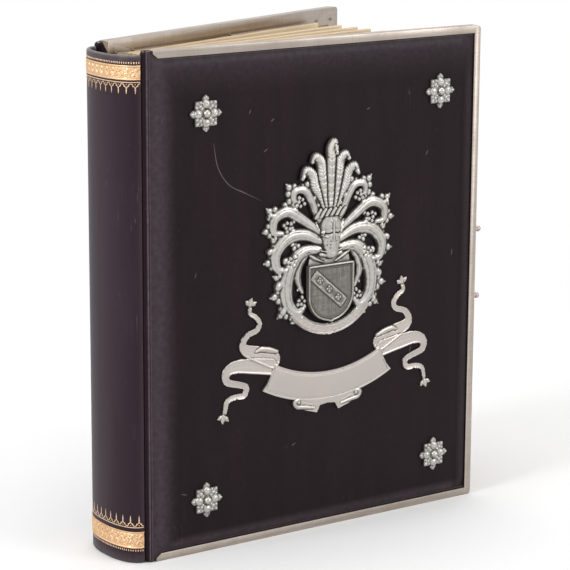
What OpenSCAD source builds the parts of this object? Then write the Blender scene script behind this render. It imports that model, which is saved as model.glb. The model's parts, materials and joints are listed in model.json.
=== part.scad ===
// Photograph album bound in dark leather with metal-edged covers.
// It stands on its tail edges with the rear cover opened and the leaves fanned.
// Every size is in millimetres and every angle in degrees.
// Each cover is drawn in its own frame: X from the joint to the fore-edge,
// Y up the height of the book and Z outwards, away from the leaves.

/* [Covers] */
// Height of each cover
cover_h = 360; // [300:1:420]
// Width of each cover from its joint axis to the fore-edge
cover_w = 285.4; // [250:0.1:320]
// Thickness of each cover over the metal frame
cover_t = 7.5; // [7:0.1:9]
// Angle between the covers as the album stands
cover_open = 20; // [16:1:26]
// Thickness of the binding leather round the joint edge of a cover
leather_t = 1.3; // [1:0.1:1.6]
// Depth of the padded leather panel over the board
pad_depth = 2.7; // [2.3:0.1:3]
// Rise of the padded panel above the frame
pad_rise = 0.45; // [0.3:0.05:0.8]
// Width of the bevel round the padded panel
pad_bevel = 10; // [6:0.5:14]
// Distance from the joint axis to the middle of the valley beside the ridge
valley_u = 6.4; // [5.5:0.1:7.5]
// Depth of that valley below the frame
valley_depth = 1.2; // [0.8:0.1:1.4]
// Half width of that valley
valley_half = 1.6; // [1.2:0.1:2]
// Depth of the padded panel's edges below the frame
edge_dip = 1.1; // [0.8:0.1:1.3]
// Distance of the leather ridge from the head and tail edges of a cover
ridge_inset = 0.4; // [0.2:0.1:1]

/* [Metal frames] */
// Width of the frame on the outside of a cover
flange_out = 5.5; // [4:0.5:8]
// Width of the frame on the inside of a cover
flange_in = 13; // [11:0.5:18]
// Sheet thickness of the two flanges
flange_t = 0.8; // [0.6:0.1:1]
// Thickness of the metal along the edges of a cover
web_t = 0.9; // [0.7:0.1:1.4]
// Distance from the joint axis to the ends of the frame
frame_start = 3.6; // [3.4:0.1:6]
// Width of the frame's pointed ends beside the leather ridge
frame_point = 1.6; // [1.2:0.1:2.4]
// Radius of the two outer corners of a frame
frame_corner_r = 3; // [1:0.5:5]
// Radius of the head of a frame nail
nail_head_r = 1.3; // [0.9:0.1:1.8]
// Height of the head of a frame nail
nail_head_h = 0.35; // [0.2:0.05:0.4]
// Radius of the shank of a frame nail
nail_r = 0.5; // [0.3:0.1:0.7]
// Length of the shank of a frame nail
nail_l = 3; // [2:0.5:3.5]
// Distance of the nails from the outer edges of a frame
nail_inset = 9; // [7:0.5:10]
// Distance between the two nails beside a corner
nail_pair = 19; // [12:1:24]
// Thickness of the lining panel inside a cover
doublure_t = 0.6; // [0.4:0.1:0.7]

/* [Leaves] */
// Number of leaves that stay against the front cover
front_leaves = 5; // [4:1:6]
// Share of the rear cover's angle that each fanned leaf takes, front to back
fan_share = [0.1, 0.2, 0.35, 0.5, 0.62, 0.77, 1];
// Thickness of a leaf
leaf_t = 3.7; // [3.2:0.1:4]
// Air between neighbouring closed leaves
leaf_gap = 0.6; // [0.4:0.1:0.8]
// Air between the closed leaves and each cover
block_gap = 0.65; // [0.4:0.05:0.8]
// Width of a leaf from its hinge line to the fore-edge
leaf_w = 243; // [210:1:250]
// Distance of the leaves from the head and tail edges of the covers
leaf_square = 9; // [6:0.5:14]
// Distance from the cover joints to the hinge lines of the leaves
hinge_x = 9; // [8:0.5:12]
// Length of bare linen between the hinge line and the card
linen_l = 12; // [12:0.5:16]
// Length of linen glued into the card
linen_tuck = 6; // [4:0.5:10]
// Thickness of the linen
linen_t = 0.6; // [0.4:0.1:0.7]
// Depth of the picture windows in a leaf
window_depth = 0.5; // [0.3:0.1:0.8]
// Width and height of a small picture window
small_window = [62, 96];
// Width and height of a large picture window
large_window = [146, 104];
// Bar between two picture windows
window_bar = 26; // [14:1:34]

/* [Spine] */
// Distance that the spine bulges beyond the joint ends
spine_bulge = 15; // [12:0.5:18]
// Roundness of the spine, where 2 is an ellipse and more is squarer
spine_power = 2.2; // [2:0.1:2.6]
// Distance of the ends of the spine skin from the cover joint axes
spine_end = 4.1; // [4:0.1:4.5]
// Depth of the flexing leather beside each joint
joint_l = 7.5; // [6.5:0.5:9]
// Thickness of the spine leather
spine_leather_t = 1.4; // [1:0.1:1.8]
// Thickness of the card that stiffens the spine
spine_liner_t = 1.6; // [1:0.1:2.2]
// Drop of the spine below the heads of the covers
spine_drop = 3; // [1:0.5:5]
// Drop of the card stiffener below each end of the spine leather
liner_drop = 2; // [1:0.5:4]
// Distance of the ends of the spine skin from the outer faces of the covers
spine_side = 3; // [2.5:0.5:3.5]
// Distance from the cover joints back to the rear edge of the guards
guard_back = 6; // [4:0.5:8]
// Air between a guard and the hinge line of its leaf
guard_gap = 0.5; // [0.4:0.1:0.8]
// Depth of the bevel on the last guard's corner, which its leaf turns past
guard_bevel = 1.2; // [1:0.1:1.8]
// Thickness of the sewing tapes
tape_t = 0.6; // [0.4:0.1:1]
// Air between neighbouring guards
guard_air = 0.3; // [0.2:0.1:0.4]
// Width of a sewing tape
tape_w = 14; // [10:1:20]
// Number of sewing tapes
tape_count = 4; // [3:1:5]
// Thickness of the cloth that lines the back of the guards
back_cloth_t = 0.9; // [0.6:0.1:1.4]
// Radius of the cords at the head and tail of the guards
endband_r = 1.7; // [1.2:0.1:2.4]

/* [Clasp] */
// Height of the clasp above the middle of the covers
clasp_rise = 0.75; // [0:0.25:2]
// Distance between the two pins on the front cover
pin_pitch = 51.3; // [40:0.1:60]
// Radius of the shank of a clasp pin
pin_r = 1.45; // [1.2:0.05:1.7]
// Radius of the ball of a clasp pin
pin_ball_r = 2.3; // [2:0.1:2.8]
// Distance of the ball's centre from the edge of the cover
pin_reach = 4.6; // [4.4:0.1:6]
// Radius of the collar of a clasp pin
pin_collar_r = 2.2; // [1.9:0.1:2.6]
// Thickness of that collar
pin_collar_t = 0.5; // [0.4:0.1:0.8]
// Radius of an eye in the clasp
eye_r = 1.95; // [1.9:0.05:2.2]
// Margin of the clasp round its eyes
clasp_margin = 7; // [5:0.5:10]
// Thickness of the clasp
clasp_t = 1.2; // [1:0.1:1.4]
// Outer radius of the clasp's hinge knuckles
knuckle_r = 1.6; // [1.4:0.1:1.8]
// Radius of the clasp's hinge pin
hinge_pin_r = 0.75; // [0.6:0.05:0.9]
// Running clearance round the clasp's hinge pin
hinge_clear = 0.05; // [0.04:0.01:0.09]
// Share of the hinge that is its middle knuckle
knuckle_share = 0.35; // [0.3:0.01:0.4]
// Air between the clasp's hinge and the edge of the cover
clasp_side_air = 0.4; // [0.4:0.1:0.8]
// End gap between two hinge knuckles
knuckle_gap = 0.4; // [0.3:0.1:0.6]
// Thickness of the clasp's bracket on the rear cover
bracket_t = 0.6; // [0.4:0.1:0.8]
// Distance of that bracket from the inner edge of the frame it sits on
bracket_margin = 0.4; // [0.2:0.1:1]
// Air between the folded clasp and its bracket
clasp_air = 0.4; // [0.3:0.1:0.8]

/* [Corner fittings] */
// Distance of the front rosettes from the joint and from the fore-edge
rosette_u = [44.5, 38.1];
// Distance of the front rosettes from the tail and from the head
rosette_z = [38.7, 45.5];
// Radius of a rosette over its petal tips
rosette_r = 12.5; // [11.5:0.1:14]
// Height of a rosette over the leather
rosette_h = 3.4; // [2.5:0.1:4.5]
// Radius of the ball stud in a rosette
stud_ball_r = 2.9; // [2:0.1:3.1]
// Height of the ball stud over the leather
stud_h = 5.4; // [4.6:0.1:6.5]
// Radius of the shank of a ball stud
stud_r = 1.2; // [0.9:0.1:1.5]
// Air round a shank where it passes through another piece
shank_air = 0.1; // [0.05:0.05:0.2]
// Radius of the bosses that the album lies on
boss_r = 8; // [6:0.5:10]
// Height of those bosses
boss_h = 6.5; // [6:0.5:9]

/* [Emblem and banner] */
// Distance of the emblem's middle from the joint
emblem_u = 148.5; // [120:0.5:160]
// Height of the foot of the shield above the tail
shield_z = 155; // [140:1:170]
// Width of the shield
shield_w = 40; // [34:1:46]
// Height of the shield
shield_h = 43; // [40:1:48]
// Thickness of the shield
shield_t = 4; // [3:0.2:5]
// Width of the raised rim of the shield
shield_rim = 1.8; // [1:0.1:4]
// Depth of the shield's field below its rim
shield_sink = 0.8; // [0.3:0.1:2]
// Thickness of the mantling plate under the shield
mantling_t = 2; // [1.6:0.2:2.6]
// Half width of the mantling
mantling_w = 57; // [50:1:60]
// Height of the top of the mantling above the foot of the shield
mantling_h = 104; // [96:1:110]
// Number of leafy lobes round the mantling
mantling_lobes = 22; // [16:1:28]
// Height of the foot of the mantling above the foot of the shield
mantling_foot = 4; // [2:0.5:8]
// Share of the mantling's radius that its lobes stand out
lobe_depth = 0.08; // [0.04:0.01:0.12]
// Radius of the helm over the shield
helm_r = 10; // [8:0.5:12]
// Depth of the helm's centre below the face of the mantling
helm_sink = 3.6; // [2.6:0.1:5]
// Height of the helm's middle above the foot of the shield
helm_z = 62; // [60:1:66]
// Height of the crest's top above the foot of the shield
crest_top = 132.5; // [126:0.5:138]
// Gap between the helm and the wreath of the crest
crest_gap = 1; // [0.4:0.1:2]
// Width of that wreath
wreath_w = 26; // [20:1:30]
// Height of that wreath
wreath_h = 5.4; // [4:0.2:7]
// Width of a plume of the crest at its foot
plume_w = 6; // [4:0.5:8]
// Radius of the curled tip of a plume
plume_r = 5; // [4:0.5:6]
// Drop from each plume's top to the next one's further out
plume_step = 8; // [5:0.5:10]
// Thickness of the crest
crest_t = 3; // [2.4:0.2:3.6]
// Radius of the middle line of the motto ribbon
motto_r = 39.5; // [38:0.5:42]
// Width of the motto ribbon
motto_w = 8.5; // [7:0.5:10]
// Distance from the shield's foot down to the middle of the ribbon
motto_drop = 5; // [3:0.5:9]
// Angle that the ribbon spreads to either side
motto_angle = 52; // [40:1:60]
// Thickness of the motto ribbon
motto_t = 2.4; // [2:0.2:3]
// Height of the banner's lowest point above the tail
banner_z = 97; // [88:1:104]
// Radius of the banner's lower edge
banner_r = 121; // [110:1:140]
// Width of the banner
banner_w = 21; // [17:1:24]
// Half length of the banner's face
banner_half = 57; // [52:1:60]
// Thickness of the banner
banner_t = 2.2; // [1.8:0.2:3]
// Width of the banner's folded tails
tail_w = 8; // [6:0.5:10]

/* [Hidden] */
$fn = 48;
LEATHER = "#2c2225";
METAL = "#b4aea4";
DARK_METAL = "#77736c";
CARD = "#e9ddc4";
LINEN = "#cdbf9f";
SILK = "#8c7a58";

// Layers of a cover, measured from the middle of its thickness
cover_half = cover_t / 2;
edge_r = cover_half - leather_t;
flange_face = cover_half - flange_t;
pad_face = cover_half + pad_rise;
board_face = pad_face - pad_depth;
valley_face = cover_half - valley_depth;
board_w = cover_w - web_t;
seam = 0.2;

// Leaves: the front ones lie against the front cover and the rest are fanned
fanned = len(fan_share);
leaf_n = front_leaves + fanned;
leaf_pitch = leaf_t + leaf_gap;
block_y = cover_t + block_gap;
block_d = leaf_n * leaf_pitch;
leaf_z0 = leaf_square;
leaf_z1 = cover_h - leaf_square;
card_w = leaf_w - linen_l;
guard_t = leaf_pitch - guard_air;
guard_front = hinge_x - guard_gap;
function leaf_y(i) = block_y + (i + 0.5) * leaf_pitch;
function leaf_angle(i) = i < front_leaves ? 0 : cover_open * fan_share[i - front_leaves];

// Joint axes of the two covers
book_t = block_y + block_d + block_gap + cover_t;
front_axis = [0, cover_half];
rear_axis = [0, book_t - cover_half];

// Outline of the spine in plan: a superellipse between the two joints
spine_mid = book_t / 2;
spine_half = book_t / 2 - spine_side;
spine_z1 = cover_h - spine_drop;
joint_cos = pow(joint_l / spine_bulge, spine_power / 2);
joint_angle = acos(joint_cos);
function spine_point(a, inset) = [
    -spine_end - (spine_bulge - inset) * pow(abs(cos(a)), 2 / spine_power),
    spine_mid + (spine_half - inset) * sign(sin(a)) * pow(abs(sin(a)), 2 / spine_power)
];
function spine_arc(a0, a1, inset, steps) = [
    for (k = [0 : steps]) spine_point(a0 + (a1 - a0) * k / steps, inset)
];

// Clasp: its hinge stands just outside the rear cover's fore-edge
clasp_axis_u = cover_w + clasp_side_air + clasp_t;
clasp_axis_v = cover_half + bracket_t + clasp_air + clasp_t / 2;
eye_l = book_t - cover_t + clasp_axis_v;
clasp_half = pin_pitch / 2 + clasp_margin;
pin_z = cover_h / 2 + clasp_rise;
knuckle_l = 2 * clasp_half * knuckle_share;

// Crest: its wreath stands over the top of the helm
helm_brow = helm_r * 0.3;
helm_top = helm_z + helm_brow + sqrt(helm_r * helm_r - helm_sink * helm_sink);
crest_foot = helm_top + crest_gap + wreath_h / 2;

// Corner fittings
rosette_us = [rosette_u[0], cover_w - rosette_u[1]];
rosette_zs = [rosette_z[0], cover_h - rosette_z[1]];
stud_sink = 3;
rosette_seat = rosette_h * 0.5;

// Corner of the album's bounding box, which sets where the origin lies
box_x0 = -spine_end - spine_bulge;
box_x1 = cover_w + pin_reach + pin_ball_r;
relief = max(stud_h, mantling_t + helm_r - helm_sink, mantling_t + shield_t, mantling_t + crest_t);
box_y0 = cover_half - pad_face - relief;
rear_knuckle_y = rear_axis[1] + clasp_axis_u * sin(cover_open) + clasp_axis_v * cos(cover_open);
box_y1 = rear_knuckle_y + knuckle_r;
origin = [(box_x0 + box_x1) / 2, (box_y0 + box_y1) / 2];

// Places a piece drawn in the plan of the whole album
module in_album() {
    translate([-origin[0], -origin[1], 0]) children();
}

// Places a piece drawn in a cover's frame on the front cover
module on_front() {
    in_album() translate([front_axis[0], front_axis[1], 0]) rotate([90, 0, 0]) children();
}

// Places a piece drawn in a cover's frame on the opened rear cover
module on_rear() {
    in_album() translate([rear_axis[0], rear_axis[1], 0]) rotate([0, 0, cover_open])
        mirror([0, 1, 0]) rotate([90, 0, 0]) children();
}

// Places a piece drawn from leaf i's hinge line, with X along the leaf
module on_leaf(i) {
    in_album() translate([hinge_x, leaf_y(i), 0]) rotate([0, 0, leaf_angle(i)]) children();
}

// Extrudes a section of a cover, drawn in X and Z, up the height from y0 to y1
module up_height(y0, y1) {
    translate([0, y1, 0]) rotate([90, 0, 0]) linear_extrude(y1 - y0) children();
}

// Extrudes a section of a cover, drawn in Y and Z, across the width from x0 to x1
module across_width(x0, x1) {
    translate([x0, 0, 0]) rotate([90, 0, 90]) linear_extrude(x1 - x0) children();
}

module span(x0, y0, x1, y1) {
    translate([x0, y0]) square([x1 - x0, y1 - y0]);
}

module block(x0, y0, z0, x1, y1, z1) {
    translate([x0, y0, z0]) cube([x1 - x0, y1 - y0, z1 - z0]);
}

// Spine

module spine_skin(a0, a1, inset, thick, z0, z1, steps) {
    outer = spine_arc(a0, a1, inset, steps);
    inner = spine_arc(a1, a0, inset + thick, steps);
    translate([0, 0, z0]) linear_extrude(z1 - z0) polygon(concat(outer, inner));
}

module spine_leather() {
    color(LEATHER) in_album()
        spine_skin(-joint_angle, joint_angle, 0, spine_leather_t, 0, spine_z1, 40);
}

module spine_liner() {
    color(CARD) in_album()
        spine_skin(-joint_angle, joint_angle, spine_leather_t, spine_liner_t,
            liner_drop, spine_z1 - liner_drop, 40);
}

module front_joint_leather() {
    color(LEATHER) in_album() spine_skin(-90, -joint_angle, 0, spine_leather_t, seam, spine_z1 - seam, 12);
}

module rear_joint_leather() {
    color(LEATHER) in_album() spine_skin(joint_angle, 90, 0, spine_leather_t, seam, spine_z1 - seam, 12);
}

// One stub of folded linen and card for each leaf, sewn side by side
module guards() {
    color(LINEN) in_album() difference() {
        for (i = [0 : leaf_n - 1])
            block(-guard_back, leaf_y(i) - guard_t / 2, leaf_z0, guard_front, leaf_y(i) + guard_t / 2, leaf_z1);
        translate([guard_front, block_y + block_d, 0]) rotate([0, 0, 45])
            block(-guard_bevel, -guard_t, 0, guard_t, guard_t, cover_h);
    }
}

module sewing_tapes() {
    step = (leaf_z1 - leaf_z0) / (tape_count + 1);
    color(CARD) in_album() for (k = [1 : tape_count])
        block(-guard_back - tape_t, block_y, leaf_z0 + k * step - tape_w / 2,
            -guard_back, block_y + block_d, leaf_z0 + k * step + tape_w / 2);
}

module back_cloth() {
    color(LINEN) in_album()
        block(-guard_back - tape_t - back_cloth_t, block_y, leaf_z0 + endband_r,
            -guard_back - tape_t, block_y + block_d, leaf_z1 - endband_r);
}

// A cord with a flat underside sits on the guards at the head and at the tail
module endbands() {
    color("#d8cdb4") in_album() for (z = [leaf_z0, leaf_z1]) intersection() {
        translate([-guard_back + 2 * endband_r, block_y + guard_air, z]) rotate([-90, 0, 0])
            cylinder(h = block_d - 2 * guard_air, r = endband_r);
        low = z > cover_h / 2 ? z : z - 2 * endband_r;
        block(-guard_back, block_y, low, guard_front, block_y + block_d, low + 2 * endband_r);
    }
}

// Covers

// Section of the board: a rounded joint edge, a neck under the turned leather and the flat
module board_section() {
    circle(r = edge_r);
    span(0, -edge_r, frame_start - seam, board_face);
    span(frame_start - seam, -flange_face, board_w, board_face);
}

module stud_holes(z0, z1) {
    for (u = rosette_us, z = rosette_zs)
        translate([u, z, z0]) cylinder(h = z1 - z0, r = stud_r + shank_air);
}

module nail_places() {
    near = frame_start + nail_inset;
    far = cover_w - nail_inset;
    places = [near, near + nail_pair, (near + far) / 2, far - nail_pair, far];
    rise = cover_h - 2 * (nail_inset + nail_pair);
    for (y = [nail_inset, cover_h - nail_inset], u = places)
        translate([u, y, 0]) children();
    for (k = [0 : 4])
        translate([far, nail_inset + nail_pair + rise * k / 4, 0]) children();
}

module nail_holes() {
    nail_places() translate([0, 0, -flange_face]) cylinder(h = nail_l, r = nail_r);
}

module board(studs) {
    difference() {
        up_height(web_t, cover_h - web_t) board_section();
        if (studs) stud_holes(board_face - stud_sink, board_face + 1);
        nail_holes();
    }
}

// Section of the padded panel across the width, with its valley beside the ridge
module panel_width_section() {
    end = cover_w - flange_out - seam;
    polygon([
        [0, board_face], [0, cover_half], [valley_half, cover_half - 0.1],
        [valley_half * 2, cover_half - 0.7],
        [valley_u - valley_half, valley_face + 0.1], [valley_u, valley_face],
        [valley_u + valley_half, valley_face + 0.15], [valley_u + pad_bevel * 0.6, cover_half - 0.1],
        [valley_u + pad_bevel * 1.2, pad_face], [end - pad_bevel, pad_face],
        [end - pad_bevel * 0.4, cover_half], [end, cover_half - edge_dip], [end, board_face]
    ]);
}

// Section of the padded panel up the height
module panel_height_section() {
    low = flange_out + seam;
    high = cover_h - flange_out - seam;
    polygon([
        [low, board_face], [low, cover_half - edge_dip],
        [low + pad_bevel * 0.4, cover_half], [low + pad_bevel, pad_face],
        [high - pad_bevel, pad_face], [high - pad_bevel * 0.4, cover_half],
        [high, cover_half - edge_dip], [high, board_face]
    ]);
}

// Leather of one cover: the ridge round the joint edge, the padded panel
// and the thin margin that runs under the frame
module cover_leather(studs) {
    difference() {
        union() {
            up_height(ridge_inset, cover_h - ridge_inset) difference() {
                union() {
                    circle(r = cover_half);
                    span(0, -cover_half, frame_start - seam, -edge_r);
                }
                circle(r = edge_r);
                span(0, -edge_r, cover_half + 1, cover_half + 1);
            }
            up_height(web_t, cover_h - web_t) difference() {
                intersection() {
                    circle(r = cover_half);
                    span(0, board_face, cover_half + 1, cover_half + 1);
                }
                circle(r = edge_r);
            }
            intersection() {
                up_height(0, cover_h) panel_width_section();
                across_width(0, cover_w) panel_height_section();
            }
            block(edge_r, web_t, board_face, cover_w - web_t, cover_h - web_t, flange_face - seam);
        }
        if (studs) stud_holes(board_face - 1, pad_face + 1);
        up_height(-1, cover_h + 1) board_section();
    }
}

module frame_outline() {
    r = frame_corner_r;
    span(frame_start, 0, cover_w - r, cover_h);
    span(frame_start, r, cover_w, cover_h - r);
    for (y = [r, cover_h - r]) translate([cover_w - r, y]) circle(r = r);
}

// A channel of sheet metal round the head, fore-edge and tail of a cover
module cover_frame() {
    difference() {
        translate([0, 0, -cover_half]) linear_extrude(cover_t) frame_outline();
        block(-1, web_t, -flange_face, cover_w - web_t, cover_h - web_t, flange_face);
        block(-1, flange_out, 0, cover_w - flange_out, cover_h - flange_out, cover_t);
        block(-1, flange_in, -cover_t, cover_w - flange_in, cover_h - flange_in, 0);
        for (side = [0, 1]) translate([frame_start, side * cover_h, 0]) mirror([0, side, 0])
            translate([0, 0, 0.5]) linear_extrude(cover_t)
                polygon([[-1, frame_point], [-1, flange_out + 1], [flange_out, flange_out + 1]]);
        nail_places() translate([0, 0, -cover_t]) cylinder(h = cover_t, r = nail_r);
    }
}

module cover_doublure() {
    block(frame_start, flange_in + seam, -flange_face - doublure_t,
        cover_w - flange_in - seam, cover_h - flange_in - seam, -flange_face);
}

module cover_nails() {
    nail_places() {
        translate([0, 0, -cover_half - nail_head_h]) cylinder(h = nail_head_h, r = nail_head_r);
        translate([0, 0, -cover_half]) cylinder(h = flange_t + nail_l, r = nail_r);
    }
}

module front_board() { color(CARD) on_front() board(true); }
module rear_board() { color(CARD) on_rear() board(false); }
module front_leather() { color(LEATHER) on_front() cover_leather(true); }
module rear_leather() { color(LEATHER) on_rear() cover_leather(false); }
module front_frame() { color(METAL) on_front() cover_frame(); }
module rear_frame() { color(METAL) on_rear() cover_frame(); }
module front_doublure() { color(SILK) on_front() cover_doublure(); }
module rear_doublure() { color(SILK) on_rear() cover_doublure(); }
module front_nails() { color(DARK_METAL) on_front() cover_nails(); }
module rear_nails() { color(DARK_METAL) on_rear() cover_nails(); }

// Corner fittings

// A cast rosette: a square of four fans, with a domed petal and a pointed tip on each side
module rosette_form() {
    petal_u = rosette_r * 0.54;
    petal_r = rosette_r * 0.26;
    fan = rosette_r * 0.7;
    difference() {
        union() {
            translate([-fan, -fan, 0]) cube([2 * fan, 2 * fan, rosette_seat]);
            for (a = [0 : 90 : 270]) rotate(a) {
                linear_extrude(rosette_h * 0.35)
                    polygon([[petal_u, -petal_r * 1.2], [rosette_r, 0], [petal_u, petal_r * 1.2]]);
                intersection() {
                    translate([petal_u, 0, rosette_h - petal_r]) sphere(r = petal_r);
                    cylinder(h = rosette_h, r = rosette_r);
                }
            }
        }
        translate([0, 0, -1]) cylinder(h = rosette_h + 2, r = stud_r + shank_air);
    }
}

module rosette_at(u, z) {
    color(METAL) on_front() translate([rosette_us[u], rosette_zs[z], pad_face]) rosette_form();
}

module rosette_head_spine() { rosette_at(0, 1); }
module rosette_head_fore() { rosette_at(1, 1); }
module rosette_tail_spine() { rosette_at(0, 0); }
module rosette_tail_fore() { rosette_at(1, 0); }

// Each stud's ball has a flat underside that clamps its rosette to the board
module rosette_studs() {
    color(METAL) on_front() for (u = rosette_us, z = rosette_zs) translate([u, z, pad_face]) {
        intersection() {
            translate([0, 0, stud_h - stud_ball_r]) sphere(r = stud_ball_r);
            translate([0, 0, rosette_seat]) cylinder(h = stud_h, r = rosette_r);
        }
        foot = board_face - stud_sink + 0.2 - pad_face;
        translate([0, 0, foot]) cylinder(h = stud_h - stud_ball_r - foot, r = stud_r);
    }
}

// Turned feet on the rear cover, with flat tops, that the album lies on
module rear_bosses() {
    base_t = 1.2;
    neck = 1.5;
    taper = 2;
    color(METAL) on_rear() for (u = rosette_us, z = rosette_zs) translate([u, z, pad_face]) {
        cylinder(h = base_t, r = boss_r);
        cylinder(h = boss_h, r1 = boss_r - neck, r2 = boss_r - neck - taper);
    }
}

// Emblem and banner

// Point on a cubic curve through the four control points of c
function bend(c, t) =
    pow(1 - t, 3) * c[0] + 3 * pow(1 - t, 2) * t * c[1] + 3 * (1 - t) * t * t * c[2] + pow(t, 3) * c[3];
function bend_side(c, t) =
    let (d = bend(c, min(1, t + 0.01)) - bend(c, max(0, t - 0.01))) [-d[1], d[0]] / norm(d);

// A flat strip that follows a curve, w0 wide at its start and w1 at its end
module strip(c, w0, w1, steps = 14) {
    function rim(t, side) = bend(c, t) + side * bend_side(c, t) * (w0 + (w1 - w0) * t) / 2;
    polygon(concat(
        [for (k = [0 : steps]) rim(k / steps, 1)],
        [for (k = [steps : -1 : 0]) rim(k / steps, -1)]
    ));
}

// A strip bent round a centre below its ends, between two angles either side of the bottom
module crescent(radius, width, half_angle, steps = 24) {
    function at(r, a) = [r * sin(a), -r * cos(a)];
    polygon(concat(
        [for (k = [0 : steps]) at(radius + width / 2, -half_angle + 2 * half_angle * k / steps)],
        [for (k = [steps : -1 : 0]) at(radius - width / 2, -half_angle + 2 * half_angle * k / steps)]
    ));
}

module on_emblem(z, lift) {
    on_front() translate([emblem_u, z, pad_face + lift]) children();
}

// Heater shield with its point at the origin: two arcs below straight shoulders
module shield_outline(grow, steps = 10) {
    w = shield_w + 2 * grow;
    base = sqrt(3) / 2 * shield_w;
    arc = [for (k = [0 : steps]) let (a = 60 * k / steps) [w * cos(a) - w / 2, base - w * sin(a)]];
    left = [for (k = [steps - 1 : -1 : 0]) [-arc[k][0], arc[k][1]]];
    polygon(concat([[w / 2, shield_h + grow]], arc, left, [[-w / 2, shield_h + grow]]));
}

module shield() {
    color(DARK_METAL) on_emblem(shield_z, mantling_t) difference() {
        linear_extrude(shield_t) shield_outline(0);
        translate([0, 0, shield_t - shield_sink]) linear_extrude(shield_t) shield_outline(-shield_rim);
    }
}

module helm() {
    throat = helm_r * 0.5;
    color(METAL) on_emblem(shield_z + helm_z, mantling_t) intersection() {
        union() {
            translate([0, helm_brow, -helm_sink]) sphere(r = helm_r);
            translate([0, -throat, -helm_sink]) rotate([90, 0, 0])
                cylinder(h = helm_r * 0.75, r = helm_r * 0.85);
        }
        translate([-2 * helm_r, -2 * helm_r, 0]) cube([4 * helm_r, 4 * helm_r, helm_r]);
    }
}

// Wreath and five plumes that fan out from the helm
module crest() {
    color(METAL) on_emblem(shield_z, mantling_t) {
        translate([-wreath_w / 2, crest_foot - wreath_h / 2, 0]) cube([wreath_w, wreath_h, crest_t]);
        linear_extrude(crest_t) for (a = [-2 : 2]) {
            tip = crest_top - plume_step * abs(a) - plume_r;
            root = [a * wreath_w / 12, crest_foot];
            side = a * plume_r * 2;
            mid = crest_foot + (tip - crest_foot) * 0.5;
            strip([root, [root[0], mid], [side * 0.7, tip - plume_r], [side, tip]],
                plume_w * 0.7, plume_w * 1.3);
            translate([side, tip]) circle(r = plume_r);
        }
    }
}

// Scalloped oval of the leafy scrolls that fall from the helm round the shield
module mantling_outline() {
    steps = mantling_lobes * 8;
    w = mantling_w / (1 + lobe_depth);
    h = (mantling_h - mantling_foot) / 2 / (1 + lobe_depth);
    function reach(a) = 1 + lobe_depth * cos(mantling_lobes * a);
    translate([0, (mantling_h + mantling_foot) / 2])
        polygon([for (k = [0 : steps - 1]) let (a = 360 * k / steps) reach(a) * [w * sin(a), h * cos(a)]]);
}

module mantling() {
    openings = [[0.63, 0.83, 0.11], [0.75, 0.61, 0.12], [0.66, 0.37, 0.13], [0.5, 0.17, 0.08]];
    color(METAL) on_emblem(shield_z, 0) linear_extrude(mantling_t) difference() {
        mantling_outline();
        for (side = [-1, 1], p = openings)
            translate([side * mantling_w * p[0], mantling_h * p[1]]) circle(r = mantling_w * p[2]);
    }
}

module motto_ribbon() {
    color(METAL) on_emblem(shield_z - motto_drop, mantling_t) linear_extrude(motto_t)
        difference() {
            translate([0, motto_r]) crescent(motto_r, motto_w, motto_angle);
            translate([0, motto_drop]) shield_outline(seam);
        }
}

// A long bare ribbon with its two folded ends
module banner() {
    rim = banner_r - banner_w / 2;
    reach = asin(banner_half / banner_r);
    curls = banner_half * [[-0.46, 0.05], [-0.3, -0.14], [-0.1, -0.1], [0, -0.03],
        [0.1, -0.1], [0.3, -0.14], [0.46, 0.05], [0, 0.09]];
    tip_w = tail_w * 0.4;
    color(METAL) on_emblem(banner_z, 0) {
        linear_extrude(banner_t) {
            translate([0, banner_r]) crescent(rim, banner_w, reach, 40);
            polygon(curls);
        }
        linear_extrude(banner_t * 0.75) for (side = [0, 1]) mirror([side, 0]) translate([banner_half, 0]) {
            strip(banner_half * [[-0.07, 0.42], [0.04, 0.7], [0.18, 0.53], [0.11, 0.88]], tail_w, tail_w);
            strip(banner_half * [[0.11, 0.86], [0.04, 1.05], [0.25, 1.09], [0.16, 1.39]], tail_w, tip_w);
            strip(banner_half * [[-0.1, 0.39], [0.25, 0.63], [0.56, 0.39], [0.46, 0.32]], tail_w, tail_w);
            strip(banner_half * [[0.49, 0.42], [0.21, 0.25], [0.67, 0.18], [0.53, 0]], tail_w, tip_w);
        }
    }
}

// Clasp

// Two headed pins stand out of the front cover's fore-edge
module clasp_pins() {
    color(METAL) on_front() for (side = [-1, 1])
        translate([cover_w, pin_z + side * pin_pitch / 2, 0]) rotate([0, 90, 0]) {
            cylinder(h = pin_collar_t, r = pin_collar_r);
            cylinder(h = pin_reach, r = pin_r);
            translate([0, 0, pin_reach]) sphere(r = pin_ball_r);
        }
}

module knuckle(y0, y1) {
    translate([clasp_axis_u, y1, clasp_axis_v]) rotate([90, 0, 0]) difference() {
        cylinder(h = y1 - y0, r = knuckle_r);
        translate([0, 0, -1]) cylinder(h = y1 - y0 + 2, r = hinge_pin_r + hinge_clear);
    }
}

// A plate on the outside of the rear cover with a knuckle at each end
module clasp_bracket() {
    bracket_u = cover_w - flange_out + bracket_margin;
    color(METAL) on_rear() translate([0, pin_z, 0]) difference() {
        union() {
            block(bracket_u, -clasp_half, cover_half, cover_w, clasp_half, cover_half + bracket_t);
            for (side = [0, 1]) mirror([0, side, 0]) {
                knuckle(knuckle_l / 2 + knuckle_gap, clasp_half);
                block(cover_w - 1, knuckle_l / 2 + knuckle_gap, cover_half,
                    clasp_axis_u, clasp_half, clasp_axis_v - hinge_pin_r - 0.3);
            }
        }
        translate([clasp_axis_u, clasp_half + 1, clasp_axis_v]) rotate([90, 0, 0])
            cylinder(h = 2 * clasp_half + 2, r = hinge_pin_r + hinge_clear);
    }
}

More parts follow.
